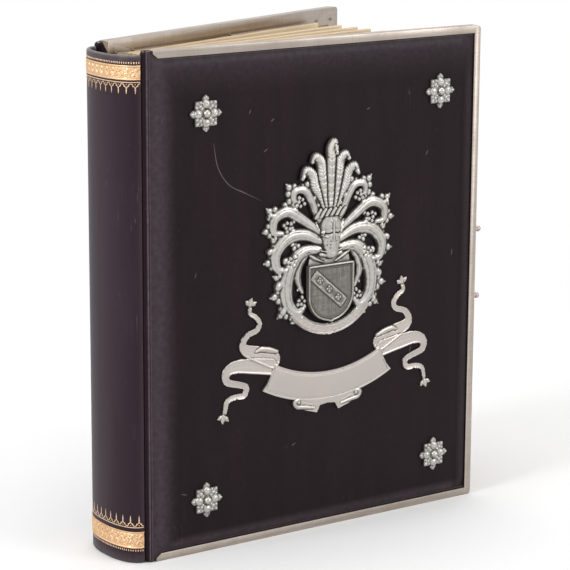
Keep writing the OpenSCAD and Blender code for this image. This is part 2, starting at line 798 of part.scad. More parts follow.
module clasp_hinge_pin() {
    color(DARK_METAL) on_rear() translate([clasp_axis_u, pin_z + clasp_half, clasp_axis_v])
        rotate([90, 0, 0])
            cylinder(h = 2 * clasp_half, r = hinge_pin_r);
}

// The clasp lies folded back on the rear cover and has an eye for each pin
module clasp_plate() {
    low = clasp_axis_v - clasp_t / 2;
    eye_u = clasp_axis_u - eye_l;
    root_u = clasp_axis_u - knuckle_r - 1;
    color(METAL) on_rear() translate([0, pin_z, 0]) {
        difference() {
            translate([0, 0, low]) linear_extrude(clasp_t) {
                span(eye_u, -clasp_half, root_u, clasp_half);
                span(eye_u - clasp_margin, -pin_pitch / 2, eye_u, pin_pitch / 2);
                for (side = [-1, 1])
                    translate([eye_u, side * pin_pitch / 2]) circle(r = clasp_margin);
                span(root_u - seam, -knuckle_l / 2, clasp_axis_u, knuckle_l / 2);
            }
            for (side = [-1, 1])
                translate([eye_u, side * pin_pitch / 2, low - 1]) cylinder(h = clasp_t + 2, r = eye_r);
            translate([clasp_axis_u, clasp_half, clasp_axis_v]) rotate([90, 0, 0])
                cylinder(h = 2 * clasp_half, r = hinge_pin_r + hinge_clear);
        }
        knuckle(-knuckle_l / 2, knuckle_l / 2);
    }
}

// Leaves

// Picture windows of leaf i: four small ones, or two large ones on every second leaf
module window_places(i) {
    small = i % 2 == 0;
    size = small ? small_window : large_window;
    columns = small ? [-0.5, 0.5] : [0];
    pitch = [size[0] + window_bar, size[1] + window_bar];
    translate([linen_l + card_w / 2, cover_h / 2]) for (c = columns, r = [-0.5, 0.5])
        translate([c * pitch[0], r * pitch[1]]) square(size, center = true);
}

module leaf_card(i) {
    color(CARD) on_leaf(i) difference() {
        block(linen_l, -leaf_t / 2, leaf_z0, leaf_w, leaf_t / 2, leaf_z1);
        block(linen_l - 1, -linen_t / 2, leaf_z0 - 1, linen_l + linen_tuck, linen_t / 2, leaf_z1 + 1);
        for (side = [0, 1]) mirror([0, side, 0]) translate([0, -leaf_t / 2 + window_depth, 0])
            rotate([90, 0, 0]) linear_extrude(window_depth + 1) window_places(i);
    }
}

// The linen that the leaf turns on, with a rounded edge on the hinge line
module leaf_linen(i) {
    color(LINEN) on_leaf(i) {
        translate([0, 0, leaf_z0]) cylinder(h = leaf_z1 - leaf_z0, r = linen_t / 2);
        block(0, -linen_t / 2, leaf_z0, linen_l + linen_tuck, linen_t / 2, leaf_z1);
    }
}

spine_leather();
spine_liner();
front_joint_leather();
rear_joint_leather();
guards();
sewing_tapes();
back_cloth();
endbands();
front_board();
front_leather();
front_frame();
front_doublure();
front_nails();
rosette_head_spine();
rosette_head_fore();
rosette_tail_spine();
rosette_tail_fore();
rosette_studs();
shield();
helm();
crest();
mantling();
motto_ribbon();
banner();
clasp_pins();
rear_board();
rear_leather();
rear_frame();
rear_doublure();
rear_nails();
rear_bosses();
clasp_bracket();
clasp_hinge_pin();
clasp_plate();
leaf_card(0);  // leaf_01
leaf_card(1);  // leaf_02
leaf_card(2);  // leaf_03
leaf_card(3);  // leaf_04
leaf_card(4);  // leaf_05
leaf_card(5);  // leaf_06
leaf_card(6);  // leaf_07
leaf_card(7);  // leaf_08
leaf_card(8);  // leaf_09
leaf_card(9);  // leaf_10
leaf_card(10);  // leaf_11
leaf_card(11);  // leaf_12
leaf_linen(0);  // leaf_hinge_01
leaf_linen(1);  // leaf_hinge_02
leaf_linen(2);  // leaf_hinge_03
leaf_linen(3);  // leaf_hinge_04
leaf_linen(4);  // leaf_hinge_05
leaf_linen(5);  // leaf_hinge_06
leaf_linen(6);  // leaf_hinge_07
leaf_linen(7);  // leaf_hinge_08
leaf_linen(8);  // leaf_hinge_09
leaf_linen(9);  // leaf_hinge_10
leaf_linen(10);  // leaf_hinge_11
leaf_linen(11);  // leaf_hinge_12
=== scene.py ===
"""The dressed model of a leather-bound photograph album with cast metal fittings.

Sizes are in millimetres and become metres where a mesh is made. Each cover and leaf is drawn
in a place of its own: U runs away from the spine, Z up the height of the book and V outwards.
"""

import json
import logging
import math
from dataclasses import dataclass
from enum import Enum, IntEnum
from typing import Callable, Sequence

import bmesh
import bpy
import numpy as np
from bpy.types import Material, Mesh, Node, NodeSocket, NodeTree, Object
from mathutils import Matrix, Vector

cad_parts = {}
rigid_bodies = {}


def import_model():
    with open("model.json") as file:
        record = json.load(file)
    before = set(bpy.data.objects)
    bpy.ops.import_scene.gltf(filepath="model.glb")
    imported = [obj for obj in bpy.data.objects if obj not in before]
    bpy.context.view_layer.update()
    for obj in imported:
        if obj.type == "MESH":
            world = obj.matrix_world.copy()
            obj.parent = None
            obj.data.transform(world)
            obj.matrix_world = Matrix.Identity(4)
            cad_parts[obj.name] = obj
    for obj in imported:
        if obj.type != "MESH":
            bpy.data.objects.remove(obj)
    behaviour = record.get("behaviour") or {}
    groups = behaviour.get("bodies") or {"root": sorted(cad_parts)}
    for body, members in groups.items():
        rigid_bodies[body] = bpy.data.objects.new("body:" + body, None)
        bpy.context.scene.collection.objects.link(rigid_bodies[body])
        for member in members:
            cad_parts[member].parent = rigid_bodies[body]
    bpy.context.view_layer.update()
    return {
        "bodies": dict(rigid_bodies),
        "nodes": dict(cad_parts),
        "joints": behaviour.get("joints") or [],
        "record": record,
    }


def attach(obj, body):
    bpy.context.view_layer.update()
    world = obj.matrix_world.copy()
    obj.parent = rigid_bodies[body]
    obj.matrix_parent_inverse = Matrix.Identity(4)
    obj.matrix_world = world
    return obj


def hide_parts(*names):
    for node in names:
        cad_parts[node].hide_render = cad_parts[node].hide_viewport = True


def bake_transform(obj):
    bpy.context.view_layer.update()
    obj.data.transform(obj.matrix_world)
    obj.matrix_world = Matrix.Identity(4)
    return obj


log = logging.getLogger("album")
MM = 0.001
TINY = 1e-9
OUTSIDE = -9.0
Point = tuple[float, float]
Box = tuple[float, float, float, float]
Body = tuple[np.ndarray, Sequence[Sequence[int]]]


# Places

@dataclass(frozen=True)
class Place:
    """A plane of the album that pieces are drawn on."""

    origin: Point
    angle: float = 0.0
    side: float = 1.0

    def at(self, u: np.ndarray, z: np.ndarray, v: np.ndarray) -> np.ndarray:
        """Turns places on the plane into points of the album.

        Args:
            u: Distances away from the hinge, in millimetres.
            z: Heights above the tail.
            v: Distances outwards from the plane.

        Returns:
            An array of points in metres, one row each.
        """
        turn = math.radians(self.angle)
        u, z, v = np.broadcast_arrays(np.asarray(u, float), np.asarray(z, float), np.asarray(v, float))
        x = self.origin[0] + (u * math.cos(turn) - self.side * v * math.sin(turn)) * MM
        y = self.origin[1] + (u * math.sin(turn) + self.side * v * math.cos(turn)) * MM
        return np.stack([x, y, z * MM], axis=-1).reshape(-1, 3)

    def vector(self, u: float, z: float, v: float) -> np.ndarray:
        """Turns a direction on the plane into a direction of the album."""
        return (self.at(u, z, v) - self.at(0, 0, 0))[0] / MM


@dataclass(frozen=True)
class Plan:
    """Driving sizes of the album and the places that its hinges give."""

    front: Place
    rear: Place
    leaves: tuple[Place, ...]
    height: float = 360.0
    width: float = 285.4
    half: float = 3.75
    pad: float = 4.2
    frame_from: float = 3.6
    emblem_u: float = 148.5
    shield_z: float = 155.0
    pin_z: float = 180.75
    pin_pitch: float = 51.3

    @classmethod
    def from_frame(cls, frame: dict, open_angle: float = 20.0) -> "Plan":
        """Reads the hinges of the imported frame.

        Args:
            open_angle: Angle between the covers at rest, in degrees.

        Returns:
            The plan, with a place for each cover and each leaf.
        """
        hinges = {j["name"]: j["pos_m"] for j in frame["record"]["behaviour"]["joints"]}
        follows = {c["joint"]: c for c in frame["record"]["behaviour"]["couplings"]}
        leaves = []
        for name in sorted(n for n in hinges if n.startswith("leaf_")):
            turned = follows[name]["follows"] == "rear_cover_hinge"
            angle = open_angle * follows[name]["ratio"] if turned else 0.0
            leaves.append(Place(tuple(hinges[name][:2]), angle))
        return cls(
            front=Place(tuple(hinges["front_cover_hinge"][:2]), 0.0, -1.0),
            rear=Place(tuple(hinges["rear_cover_hinge"][:2]), open_angle),
            leaves=tuple(leaves),
        )


# Meshes

def link(name: str, data: bpy.types.ID) -> Object:
    """Puts a mesh, a camera or a lamp into the scene."""
    obj = bpy.data.objects.new(name, data)
    bpy.context.scene.collection.objects.link(obj)
    return obj


def make_piece(
    name: str,
    points: np.ndarray,
    faces: Sequence[Sequence[int]] | np.ndarray,
    finishes: Sequence[Material],
    uv: np.ndarray | None = None,
    cavity: np.ndarray | None = None,
    face_finish: np.ndarray | None = None,
    crease: float = 40.0,
) -> Object:
    """Makes a mesh piece whose object sits at the origin.

    Args:
        name: Name of the piece.
        points: Points in metres.
        faces: Point numbers of each face.
        finishes: Materials of the piece.
        uv: A place in millimetres for each point, for patterns that follow the surface.
        cavity: How deep each point lies in the relief, from 0 to 1; on the leather, how much it is rubbed and
            painted with highlights.
        face_finish: Number of each face's material.
        crease: Angle in degrees above which an edge is sharp.

    Returns:
        The object, linked into the scene.
    """
    mesh = bpy.data.meshes.new(name)
    mesh.from_pydata(np.asarray(points, float).tolist(), [], [list(map(int, f)) for f in faces])
    for finish in finishes:
        mesh.materials.append(finish)
    if face_finish is not None:
        mesh.polygons.foreach_set("material_index", np.asarray(face_finish, int))
    if uv is not None:
        corners = np.zeros(len(mesh.loops), int)
        mesh.loops.foreach_get("vertex_index", corners)
        layer = mesh.uv_layers.new(name="UVMap")
        layer.data.foreach_set("uv", np.asarray(uv, float)[corners].ravel())
    if cavity is not None:
        mesh.attributes.new("cavity", "FLOAT", "POINT").data.foreach_set("value", np.asarray(cavity, float))
    mesh.validate()
    face_outwards(mesh)
    shade(mesh, crease)
    return link(name, mesh)


def face_outwards(mesh: Mesh) -> None:
    """Turns the faces of each closed shell outwards."""
    work = bmesh.new()
    work.from_mesh(mesh)
    bmesh.ops.recalc_face_normals(work, faces=work.faces)
    work.to_mesh(mesh)
    work.free()


def shade(mesh: Mesh, crease: float) -> None:
    """Shades a mesh smooth, apart from edges sharper than crease degrees."""
    mesh.polygons.foreach_set("use_smooth", np.ones(len(mesh.polygons), bool))
    mesh.set_sharp_from_angle(angle=math.radians(crease))
    mesh.update()


def grid_faces(rows: int, cols: int, wrap: bool = False, start: int = 0) -> np.ndarray:
    """Numbers the quads of a grid of points.

    Args:
        rows: Number of rows of points.
        cols: Number of points in a row.
        wrap: Whether each row closes on itself.
        start: Number of the first point.

    Returns:
        An array with four point numbers for each quad.
    """
    across = cols if wrap else cols - 1
    r, c = np.meshgrid(np.arange(rows - 1), np.arange(across), indexing="ij")
    n = (c + 1) % cols
    quads = np.stack([r * cols + c, r * cols + n, (r + 1) * cols + n, (r + 1) * cols + c], axis=-1)
    return quads.reshape(-1, 4) + start


def shell(outer: np.ndarray, inner: np.ndarray) -> Body:
    """Closes the space between two grids of points of the same size.

    Args:
        outer: Points of the outer face, as rows and columns.
        inner: Points of the inner face.

    Returns:
        The points and the quads of the closed shell.
    """
    rows, cols = outer.shape[:2]
    count = rows * cols
    faces = [grid_faces(rows, cols), grid_faces(rows, cols, start=count)[:, ::-1]]
    index = np.arange(count).reshape(rows, cols)
    rim = np.concatenate([index[0], index[1:, -1], index[-1, -2::-1], index[-2:0:-1, 0]])
    after = np.roll(rim, -1)
    faces.append(np.stack([rim, rim + count, after + count, after], axis=-1))
    return np.concatenate([outer.reshape(-1, 3), inner.reshape(-1, 3)]), np.concatenate(faces)


def sweep(loops: np.ndarray) -> Body:
    """Joins closed loops of points, one for each station, and caps both ends.

    Args:
        loops: Points as stations, places round the loop and coordinates.

    Returns:
        The points and the faces.
    """
    rows, cols = loops.shape[:2]
    faces = grid_faces(rows, cols, wrap=True).tolist()
    faces.append(list(range(cols))[::-1])
    faces.append(list(range((rows - 1) * cols, rows * cols)))
    return loops.reshape(-1, 3), faces


def merged(bodies: Sequence[Body]) -> Body:
    """Puts several bodies into one."""
    faces = []
    start = 0
    for points, own in bodies:
        faces += [[start + n for n in face] for face in own]
        start += len(points)
    return np.concatenate([points for points, _ in bodies]), faces


def lathe(
    name: str,
    profile: Sequence[Point],
    feet: Sequence[np.ndarray],
    axis: np.ndarray,
    finish: Material,
    sides: int,
) -> Object:
    """Turns the same profile at several places, closed at both ends.

    Args:
        name: Name of the piece.
        profile: Radius and height of each ring, in millimetres.
        feet: Foot of the axis at each place, in metres.
        axis: Direction of the axis.
        finish: Material of the piece.
        sides: Number of sides of each ring.

    Returns:
        The object.
    """
    up = Vector(axis).normalized()
    side = up.orthogonal().normalized()
    turn = np.linspace(0, 2 * math.pi, sides, endpoint=False)
    ring = np.outer(np.cos(turn), np.array(side)) + np.outer(np.sin(turn), np.array(up.cross(side)))
    rings = MM * np.stack([r * ring + h * np.array(up) for r, h in profile])
    return make_piece(name, *merged([sweep(foot + rings) for foot in feet]), [finish])


def bake_modifiers(obj: Object) -> None:
    """Replaces an object's mesh by what its modifiers make of it."""
    graph = bpy.context.evaluated_depsgraph_get()
    made = obj.evaluated_get(graph)
    mesh = bpy.data.meshes.new_from_object(made, preserve_all_data_layers=True, depsgraph=graph)
    obj.modifiers.clear()
    old = obj.data
    obj.data = mesh
    bpy.data.meshes.remove(old)


def dressed_copy(name: str, node: str, finish: Material, bevel: float, corner: float = 35.0) -> Object:
    """Copies a CAD node as a clean mesh and softens its edges.

    Args:
        name: Name of the new piece.
        node: Name of the CAD node.
        finish: Material of the piece.
        bevel: Width of the softened edges, in millimetres.
        corner: Angle in degrees above which an edge is softened.

    Returns:
        The new object.
    """
    work = bmesh.new()
    work.from_mesh(bpy.data.objects[node].data)
    bmesh.ops.remove_doubles(work, verts=work.verts, dist=MM * MM)
    bmesh.ops.dissolve_limit(work, angle_limit=math.radians(1.0), verts=work.verts, edges=work.edges)
    mesh = bpy.data.meshes.new(name)
    work.to_mesh(mesh)
    work.free()
    mesh.materials.append(finish)
    obj = link(name, mesh)
    soften = obj.modifiers.new("soften", "BEVEL")
    soften.width = bevel * MM
    soften.segments = 2
    soften.limit_method = "ANGLE"
    soften.angle_limit = math.radians(corner)
    bake_modifiers(obj)
    shade(obj.data, corner)
    return obj


def dress_node(name: str, finish: Material) -> None:
    """Gives a CAD node its finish and leaves its mesh as it is."""
    node = bpy.data.objects[name]
    if not node.material_slots:
        node.data.materials.append(finish)
    for slot in node.material_slots:
        slot.material = finish


# Lines

def smoothstep(low: float, high: float, value: np.ndarray | float) -> np.ndarray:
    """Rises smoothly from 0 at low to 1 at high."""
    t = np.clip((np.asarray(value, float) - low) / (high - low), 0, 1)
    return t * t * (3 - 2 * t)


def bump_at(middle: float, spread: float, value: np.ndarray) -> np.ndarray:
    """Gives a soft bump, 1 at its middle."""
    return np.exp(-(((value - middle) / spread) ** 2))


def directions(path: np.ndarray) -> tuple[np.ndarray, np.ndarray]:
    """Gives the unit directions along a path, and those to its left."""
    ahead = np.gradient(path, axis=0)
    ahead /= np.maximum(np.hypot(ahead[:, 0], ahead[:, 1]), TINY)[:, None]
    return ahead, np.stack([-ahead[:, 1], ahead[:, 0]], axis=-1)


def resampled(values: Sequence[float] | np.ndarray, count: int) -> np.ndarray:
    """Spreads values evenly over another number of places."""
    return np.interp(np.linspace(0, 1, count), np.linspace(0, 1, len(values)), values)


def curve(controls: Sequence[Point], steps: int) -> np.ndarray:
    """Runs a smooth curve through its control points.

    Args:
        controls: Points that the curve passes through.
        steps: Number of pieces between two of them.

    Returns:
        Points along the curve.
    """
    p = np.array(controls, float)
    if len(p) < 3:
        t = np.linspace(0, 1, steps + 1)[:, None]
        return p[0] + (p[-1] - p[0]) * t
    p = np.vstack([2 * p[0] - p[1], p, 2 * p[-1] - p[-2]])
    out = []
    for k in range(1, len(p) - 2):
        t = np.linspace(0, 1, steps, endpoint=False)[:, None]
        a, b, c, d = p[k - 1:k + 3]
        bend = (2 * a - 5 * b + 4 * c - d) * t**2 + (3 * b - a - 3 * c + d) * t**3
        out.append(0.5 * (2 * b + (c - a) * t + bend))
    out.append(p[-2][None])
    return np.vstack(out)


def polar(centre: Point, angle: float, reach: float) -> Point:
    """Gives the point at an angle in degrees and a distance from a centre."""
    t = math.radians(angle)
    return (centre[0] + reach * math.cos(t), centre[1] + reach * math.sin(t))


def mirrored(controls: Sequence[Point], side: int) -> list[Point]:
    """Turns points drawn for the right half into those of one side."""
    return [(side * x, y) for x, y in controls]


# Relief

class Section(Enum):
    """Shapes that a stroke of relief has across its width."""

    ROUND = "round"
    FLUTED = "fluted"
    RIBBON = "ribbon"
    FLAT = "flat"

    def rise(self, across: np.ndarray) -> np.ndarray:
        """Gives the share of the full rise at each place across the stroke, from -1 to 1."""
        dome = np.sqrt(np.clip(1 - across**2, 0, 1))
        if self is Section.ROUND:
            return dome
        if self is Section.FLUTED:
            return dome * (1 - 0.3 * bump_at(0, 0.24, across))
        if self is Section.RIBBON:
            edge = np.clip((np.abs(across) - 0.72) / 0.12, 0, 1)
            return np.clip((1 - np.abs(across)) / 0.06, 0, 1) * (0.72 + 0.28 * edge)
        return np.clip((1 - np.abs(across)) / 0.08, 0, 1)


def cell_corners(grid: np.ndarray) -> np.ndarray:
    """Stacks what a grid holds at the four corners of each of its cells."""
    return np.stack([grid[:-1, :-1], grid[:-1, 1:], grid[1:, 1:], grid[1:, :-1]])


def as_line(path: np.ndarray | Sequence[Point]) -> np.ndarray:
    """Makes a path an array of at least two points."""
    line = np.asarray(path, float).reshape(-1, 2)
    return np.vstack([line, line + 1e-4]) if len(line) == 1 else line


class Relief:
    """A cast relief, drawn with strokes and bosses as heights over a plane."""

    moat_width = 0.7
    crown_reach = 6.0
    hollow_reach = 1.1
    least = 0.15

    def __init__(
        self, left: float, low: float, right: float, top: float, pitch: float, middle: Point = (0.0, 0.0)
    ) -> None:
        """Clears the field.

        Args:
            left: Least U of the field, in millimetres from its middle.
            low: Least Z.
            right: Greatest U.
            top: Greatest Z.
            pitch: Distance between two places of the field.
            middle: Point of the plane that the drawing is measured from.
        """
        self.pitch = pitch
        self.middle = middle
        self.us = np.arange(left, right + pitch, pitch)
        self.zs = np.arange(low, top + pitch, pitch)
        self.inside = np.full((len(self.zs), len(self.us)), OUTSIDE)
        self.height = np.zeros_like(self.inside)

    def _window(self, path: np.ndarray, reach: float) -> tuple[slice, slice]:
        """Gives the rows and columns within reach of a path."""
        c0, r0 = np.floor((path.min(axis=0) - reach - [self.us[0], self.zs[0]]) / self.pitch).astype(int)
        c1, r1 = np.ceil((path.max(axis=0) + reach - [self.us[0], self.zs[0]]) / self.pitch).astype(int) + 1
        return slice(max(r0, 0), max(r1, 0)), slice(max(c0, 0), max(c1, 0))

    def _measure(
        self, path: np.ndarray, widths: np.ndarray, rows: slice, cols: slice, capped: bool
    ) -> tuple[np.ndarray, np.ndarray]:
        """Measures a stroke in a window.

        Args:
            path: Points along the stroke.
            widths: Half width at each point.
            rows: Rows of the window.
            cols: Columns of the window.
            capped: Whether the ends are round.

        Returns:
            The distance inside the stroke and the place across it.
        """
        u, z = np.meshgrid(self.us[cols], self.zs[rows])
        best = np.full(u.shape, OUTSIDE)
        across = np.zeros(u.shape)
        last = len(path) - 2
        for k in range(last + 1):
            a = path[k]
            step = path[k + 1] - a
            length = max(float(step @ step), TINY)
            t = ((u - a[0]) * step[0] + (z - a[1]) * step[1]) / length
            held = np.clip(t, 0, 1)
            du = u - a[0] - held * step[0]
            dz = z - a[1] - held * step[1]
            far = np.hypot(du, dz)
            half = np.maximum(widths[k] + (widths[k + 1] - widths[k]) * held, MM)
            gain = half - far
            if not capped and k == 0:
                gain = np.minimum(gain, t * math.sqrt(length))
            if not capped and k == last:
                gain = np.minimum(gain, (1 - t) * math.sqrt(length))
            better = gain > best
            sign = np.sign(step[0] * dz - step[1] * du)
            best = np.where(better, gain, best)
            across = np.where(better, sign * far / half, across)
        return best, across

    def stroke(
        self,
        path: np.ndarray | Sequence[Point],
        width: float | Sequence[float],
        rise: float,
        base: float = 0.0,
        section: Section = Section.ROUND,
        capped: bool = True,
        moat: float = 0.5,
        tilt: float = 0.0,
        over: bool = False,
    ) -> None:
        """Adds a stroke of relief.

        Args:
            path: Points along the stroke.
            width: Full width, or widths spread evenly along the path.
            rise: Height of the stroke over its base.
            base: Height that the stroke starts from.
            section: Shape across the stroke.
            capped: Whether the ends are round.
            moat: Depth of the line that sets the stroke off from what lies round it.
            tilt: Rise of the left edge over the right edge, for a ribbon that turns.
            over: Whether the stroke hides what lies below it even where that is higher.
        """
        path = as_line(path)
        halves = resampled(np.atleast_1d(np.asarray(width, float)) / 2, len(path))
        rows, cols = self._window(path, float(halves.max()) + 1.0)
        gain, across = self._measure(path, halves, rows, cols, capped)
        inside, height = self.inside[rows, cols], self.height[rows, cols]
        height -= moat * np.clip(1 + gain / self.moat_width, 0, 1) * (gain <= 0) * (inside > 0)
        new = base + rise * section.rise(across) + tilt * across * 0.5
        taken = (gain > 0) & ((new > height) | (inside <= 0) | over)
        height[taken] = new[taken]
        self.inside[rows, cols] = np.maximum(inside, gain)
        self.height[rows, cols] = height

    def boss(self, centre: Point, size: float, rise: float, base: float = 0.0, moat: float = 0.4) -> None:
        """Adds a round boss of that size at a point."""
        self.stroke([centre], size, rise, base, moat=moat)

    def carve(self, path: np.ndarray | Sequence[Point], width: float, depth: float) -> None:
        """Cuts an engraved line into what is there.

        Args:
            path: Points along the line.
            width: Width of the line.
            depth: Depth of the line at its middle.
        """
        path = as_line(path)
        rows, cols = self._window(path, width)
        gain = self._measure(path, np.full(len(path), width / 2), rows, cols, True)[0]
        self.height[rows, cols] -= depth * np.clip(gain / (width / 2), 0, 1)

    def polygon(self, corners: Sequence[Point], rise: float, crown: float = 0.0) -> None:
        """Fills a convex or concave outline with a flat or crowned plate.

        Args:
            corners: Corners of the outline in order.
            rise: Height of the plate.
            crown: Extra height towards the middle of the plate.
        """
        loop = np.asarray(corners, float)
        u, z = np.meshgrid(self.us, self.zs)
        far = np.full(u.shape, 1 / TINY)
        crossings = np.zeros(u.shape, int)
        for a, b in zip(loop, np.roll(loop, -1, axis=0)):
            step = b - a
            t = np.clip(((u - a[0]) * step[0] + (z - a[1]) * step[1]) / max(step @ step, TINY), 0, 1)
            far = np.minimum(far, np.hypot(u - a[0] - t * step[0], z - a[1] - t * step[1]))
            spans = (a[1] > z) != (b[1] > z)
            slope = step[0] / (step[1] if abs(step[1]) > TINY else TINY)
            crossings += spans & (u < a[0] + slope * (z - a[1]))
        gain = np.where(crossings % 2 == 1, far, -far)
        new = rise + crown * (1 - np.exp(-np.clip(gain, 0, None) / self.crown_reach))
        hit = (gain > 0) & ((new > self.height) | (self.inside <= 0))
        self.height[hit] = new[hit]
        self.inside = np.maximum(self.inside, gain)

    def _blurred(self, reach: int) -> np.ndarray:
        """Averages the heights over neighbouring places inside the outline."""
        weight = (self.inside > 0).astype(float)
        total = self.height * weight
        for axis in (0, 1, 0, 1):
            total = sum(np.roll(total, k, axis) for k in range(-reach, reach + 1))
            weight = sum(np.roll(weight, k, axis) for k in range(-reach, reach + 1))
        return total / np.maximum(weight, TINY)

    def _outline_shift(self, corner: np.ndarray) -> np.ndarray:
        """Moves the points of the cells on the outline onto it.

        Args:
            corner: Which corners of each cell are inside the outline.

        Returns:
            Where each cell's point lies in the cell, as shares of its width and height.
        """
        gain = cell_corners(self.inside)
        offsets = np.array([[0, 0], [1, 0], [1, 1], [0, 1]], float)
        shift = np.zeros(corner.shape[1:] + (2,))
        count = np.zeros(corner.shape[1:])
        for k in range(4):
            n = (k + 1) % 4
            cut = corner[k] != corner[n]
            span = gain[k] - gain[n]
            t = np.clip(gain[k] / np.where(np.abs(span) < TINY, 1.0, span), 0.02, 0.98)
            where = offsets[k] + t[..., None] * (offsets[n] - offsets[k])
            shift += np.where(cut[..., None], where, 0)
            count += cut
        return np.where(corner.all(axis=0)[..., None], 0.5, shift / np.maximum(count, 1)[..., None])

    def build(
        self,
        name: str,
        place: "Place | SpineCurve",
        foot: float,
        finish: Material,
        soften: int = 1,
        deep: float = 0.45,
    ) -> Object:
        """Raises the relief as one closed mesh.

        Args:
            name: Name of the piece.
            place: Plane or curve that the relief stands on.
            foot: V of its flat underside.
            finish: Material of the piece.
            soften: Number of places that heights are averaged over.
            deep: Depth in millimetres at which a hollow is darkest.

        Returns:
            The object.
        """
        self.inside[[0, -1], :] = -1
        self.inside[:, [0, -1]] = -1
        solid = self.inside > 0
        if soften:
            self.height = np.where(solid, 0.5 * self.height + 0.5 * self._blurred(soften), self.height)
        wide = self._blurred(max(2, round(self.hollow_reach / self.pitch)))
        hollow = np.clip(0.5 - (self.height - wide) / (2 * deep), 0, 1)
        corner = cell_corners(solid)
        used = corner.any(axis=0)
        shift = self._outline_shift(corner)[used] * self.pitch

        def at_cells(values: np.ndarray) -> np.ndarray:
            """Averages values from the solid corners of each used cell."""
            return ((cell_corners(values) * corner).sum(axis=0) / np.maximum(corner.sum(axis=0), 1))[used]

        number = np.full(used.shape, -1)
        number[used] = np.arange(used.sum())
        rows, cols = np.nonzero(used)
        u = self.middle[0] + self.us[cols] + shift[:, 0]
        z = self.middle[1] + self.zs[rows] + shift[:, 1]
        total = len(u)
        top = place.at(u, z, foot + np.maximum(at_cells(self.height), self.least))
        under = place.at(u, z, np.full(total, foot))
        quads = cell_corners(number)[:, solid[1:-1, 1:-1]].T
        walls = []
        upright = solid[1:-1, 1:] != solid[1:-1, :-1]
        level = solid[1:, 1:-1] != solid[:-1, 1:-1]
        for step, cut in (((1, 0), upright), ((0, 1), level)):
            r, c = np.nonzero(cut)
            walls.append(np.stack([number[r, c], number[r + step[0], c + step[1]]], axis=-1))
        edges = np.concatenate(walls)
        faces = [quads, quads[:, ::-1] + total, np.concatenate([edges, edges[:, ::-1] + total], axis=-1)]
        return make_piece(
            name,
            np.concatenate([top, under]),
            np.concatenate(faces),
            [finish],
            uv=np.tile(np.stack([u, z], axis=-1), (2, 1)),
            cavity=np.concatenate([at_cells(hollow), np.ones(total)]),
            crease=60,
        )


# Finishes

class Nodes:
    """A node tree with short calls that add and link nodes."""

    def __init__(self, tree: NodeTree) -> None:
        """Wraps a tree.

        Args:
            tree: Shader or geometry tree to add nodes to.
        """
        self.tree = tree

    def wire(self, node: Node, **inputs: object) -> None:
        """Links or sets a node's inputs.

        Args:
            node: The node.
            inputs: Values or sockets by the input's name, with _ for a space, or by its number as i0, i1.
        """
        for key, value in inputs.items():
            slot = node.inputs[int(key[1:])] if key[1:].isdigit() else node.inputs[key.replace("_", " ")]
            if isinstance(value, NodeSocket):
                self.tree.links.new(value, slot)
            else:
                slot.default_value = value

    def add(self, kind: str, settings: dict | None = None, **inputs: object) -> Node:
        """Adds a node.

        Args:
            kind: Node type.
            settings: Properties of the node itself.
            inputs: What its inputs get, as wire takes it.

        Returns:
            The node.
        """
        node = self.tree.nodes.new(kind)
        for key, value in (settings or {}).items():
            setattr(node, key, value)
        self.wire(node, **inputs)
        return node

    def group(self, tree: NodeTree, **inputs: object) -> bpy.types.bpy_prop_collection:
        """Places a shader group and returns its outputs."""
        return self.add("ShaderNodeGroup", {"node_tree": tree}, **inputs).outputs

    def math(self, operation: str, a: object, b: object = 0.0) -> NodeSocket:
        """Adds a Math node and returns its result."""
        return self.add("ShaderNodeMath", {"operation": operation}, i0=a, i1=b).outputs[0]

    def times(self, a: object, b: object) -> NodeSocket:
        """Multiplies two values."""
        return self.math("MULTIPLY", a, b)

    def plus(self, a: object, b: object) -> NodeSocket:
        """Adds two values."""
        return self.math("ADD", a, b)

    def minus(self, a: object, b: object) -> NodeSocket:
        """Takes one value from another."""
        return self.math("SUBTRACT", a, b)

    def ramp(
        self, value: object, low: object, high: float, to_low: float = 0.0, to_high: float = 1.0
    ) -> NodeSocket:
        """Maps a range of a value onto another range, smoothly and without going past it."""
        limits = dict(Value=value, From_Min=low, From_Max=high, To_Min=to_low, To_Max=to_high)
        return self.add("ShaderNodeMapRange", {"interpolation_type": "SMOOTHSTEP"}, **limits).outputs[0]

    def mix(self, share: object, a: object, b: object) -> NodeSocket:
        """Mixes two colours and returns the result."""
        return self.add("ShaderNodeMix", {"data_type": "RGBA"}, i0=share, i6=a, i7=b).outputs[2]

    def noise(self, where: object, scale: float, detail: float = 3.0) -> NodeSocket:
        """Adds a Noise Texture and returns its value."""
        return self.add("ShaderNodeTexNoise", Vector=where, Scale=scale, Detail=detail).outputs[0]

    def stretched(self, where: object, scale: Sequence[float], turn: Sequence[float] = (0, 0, 0)) -> NodeSocket:
        """Scales and turns a pattern's coordinates."""
        return self.add("ShaderNodeMapping", Vector=where, Scale=scale, Rotation=turn).outputs[0]

    def attribute(self, name: str) -> NodeSocket:
        """Reads an attribute of the mesh as a value."""
        return self.add("ShaderNodeAttribute", {"attribute_name": name}).outputs["Fac"]

    def bump(self, height: object, depth: float, strength: float) -> NodeSocket:
        """Turns a height pattern into a normal; depth is in metres."""
        return self.add("ShaderNodeBump", Height=height, Distance=depth, Strength=strength).outputs[0]


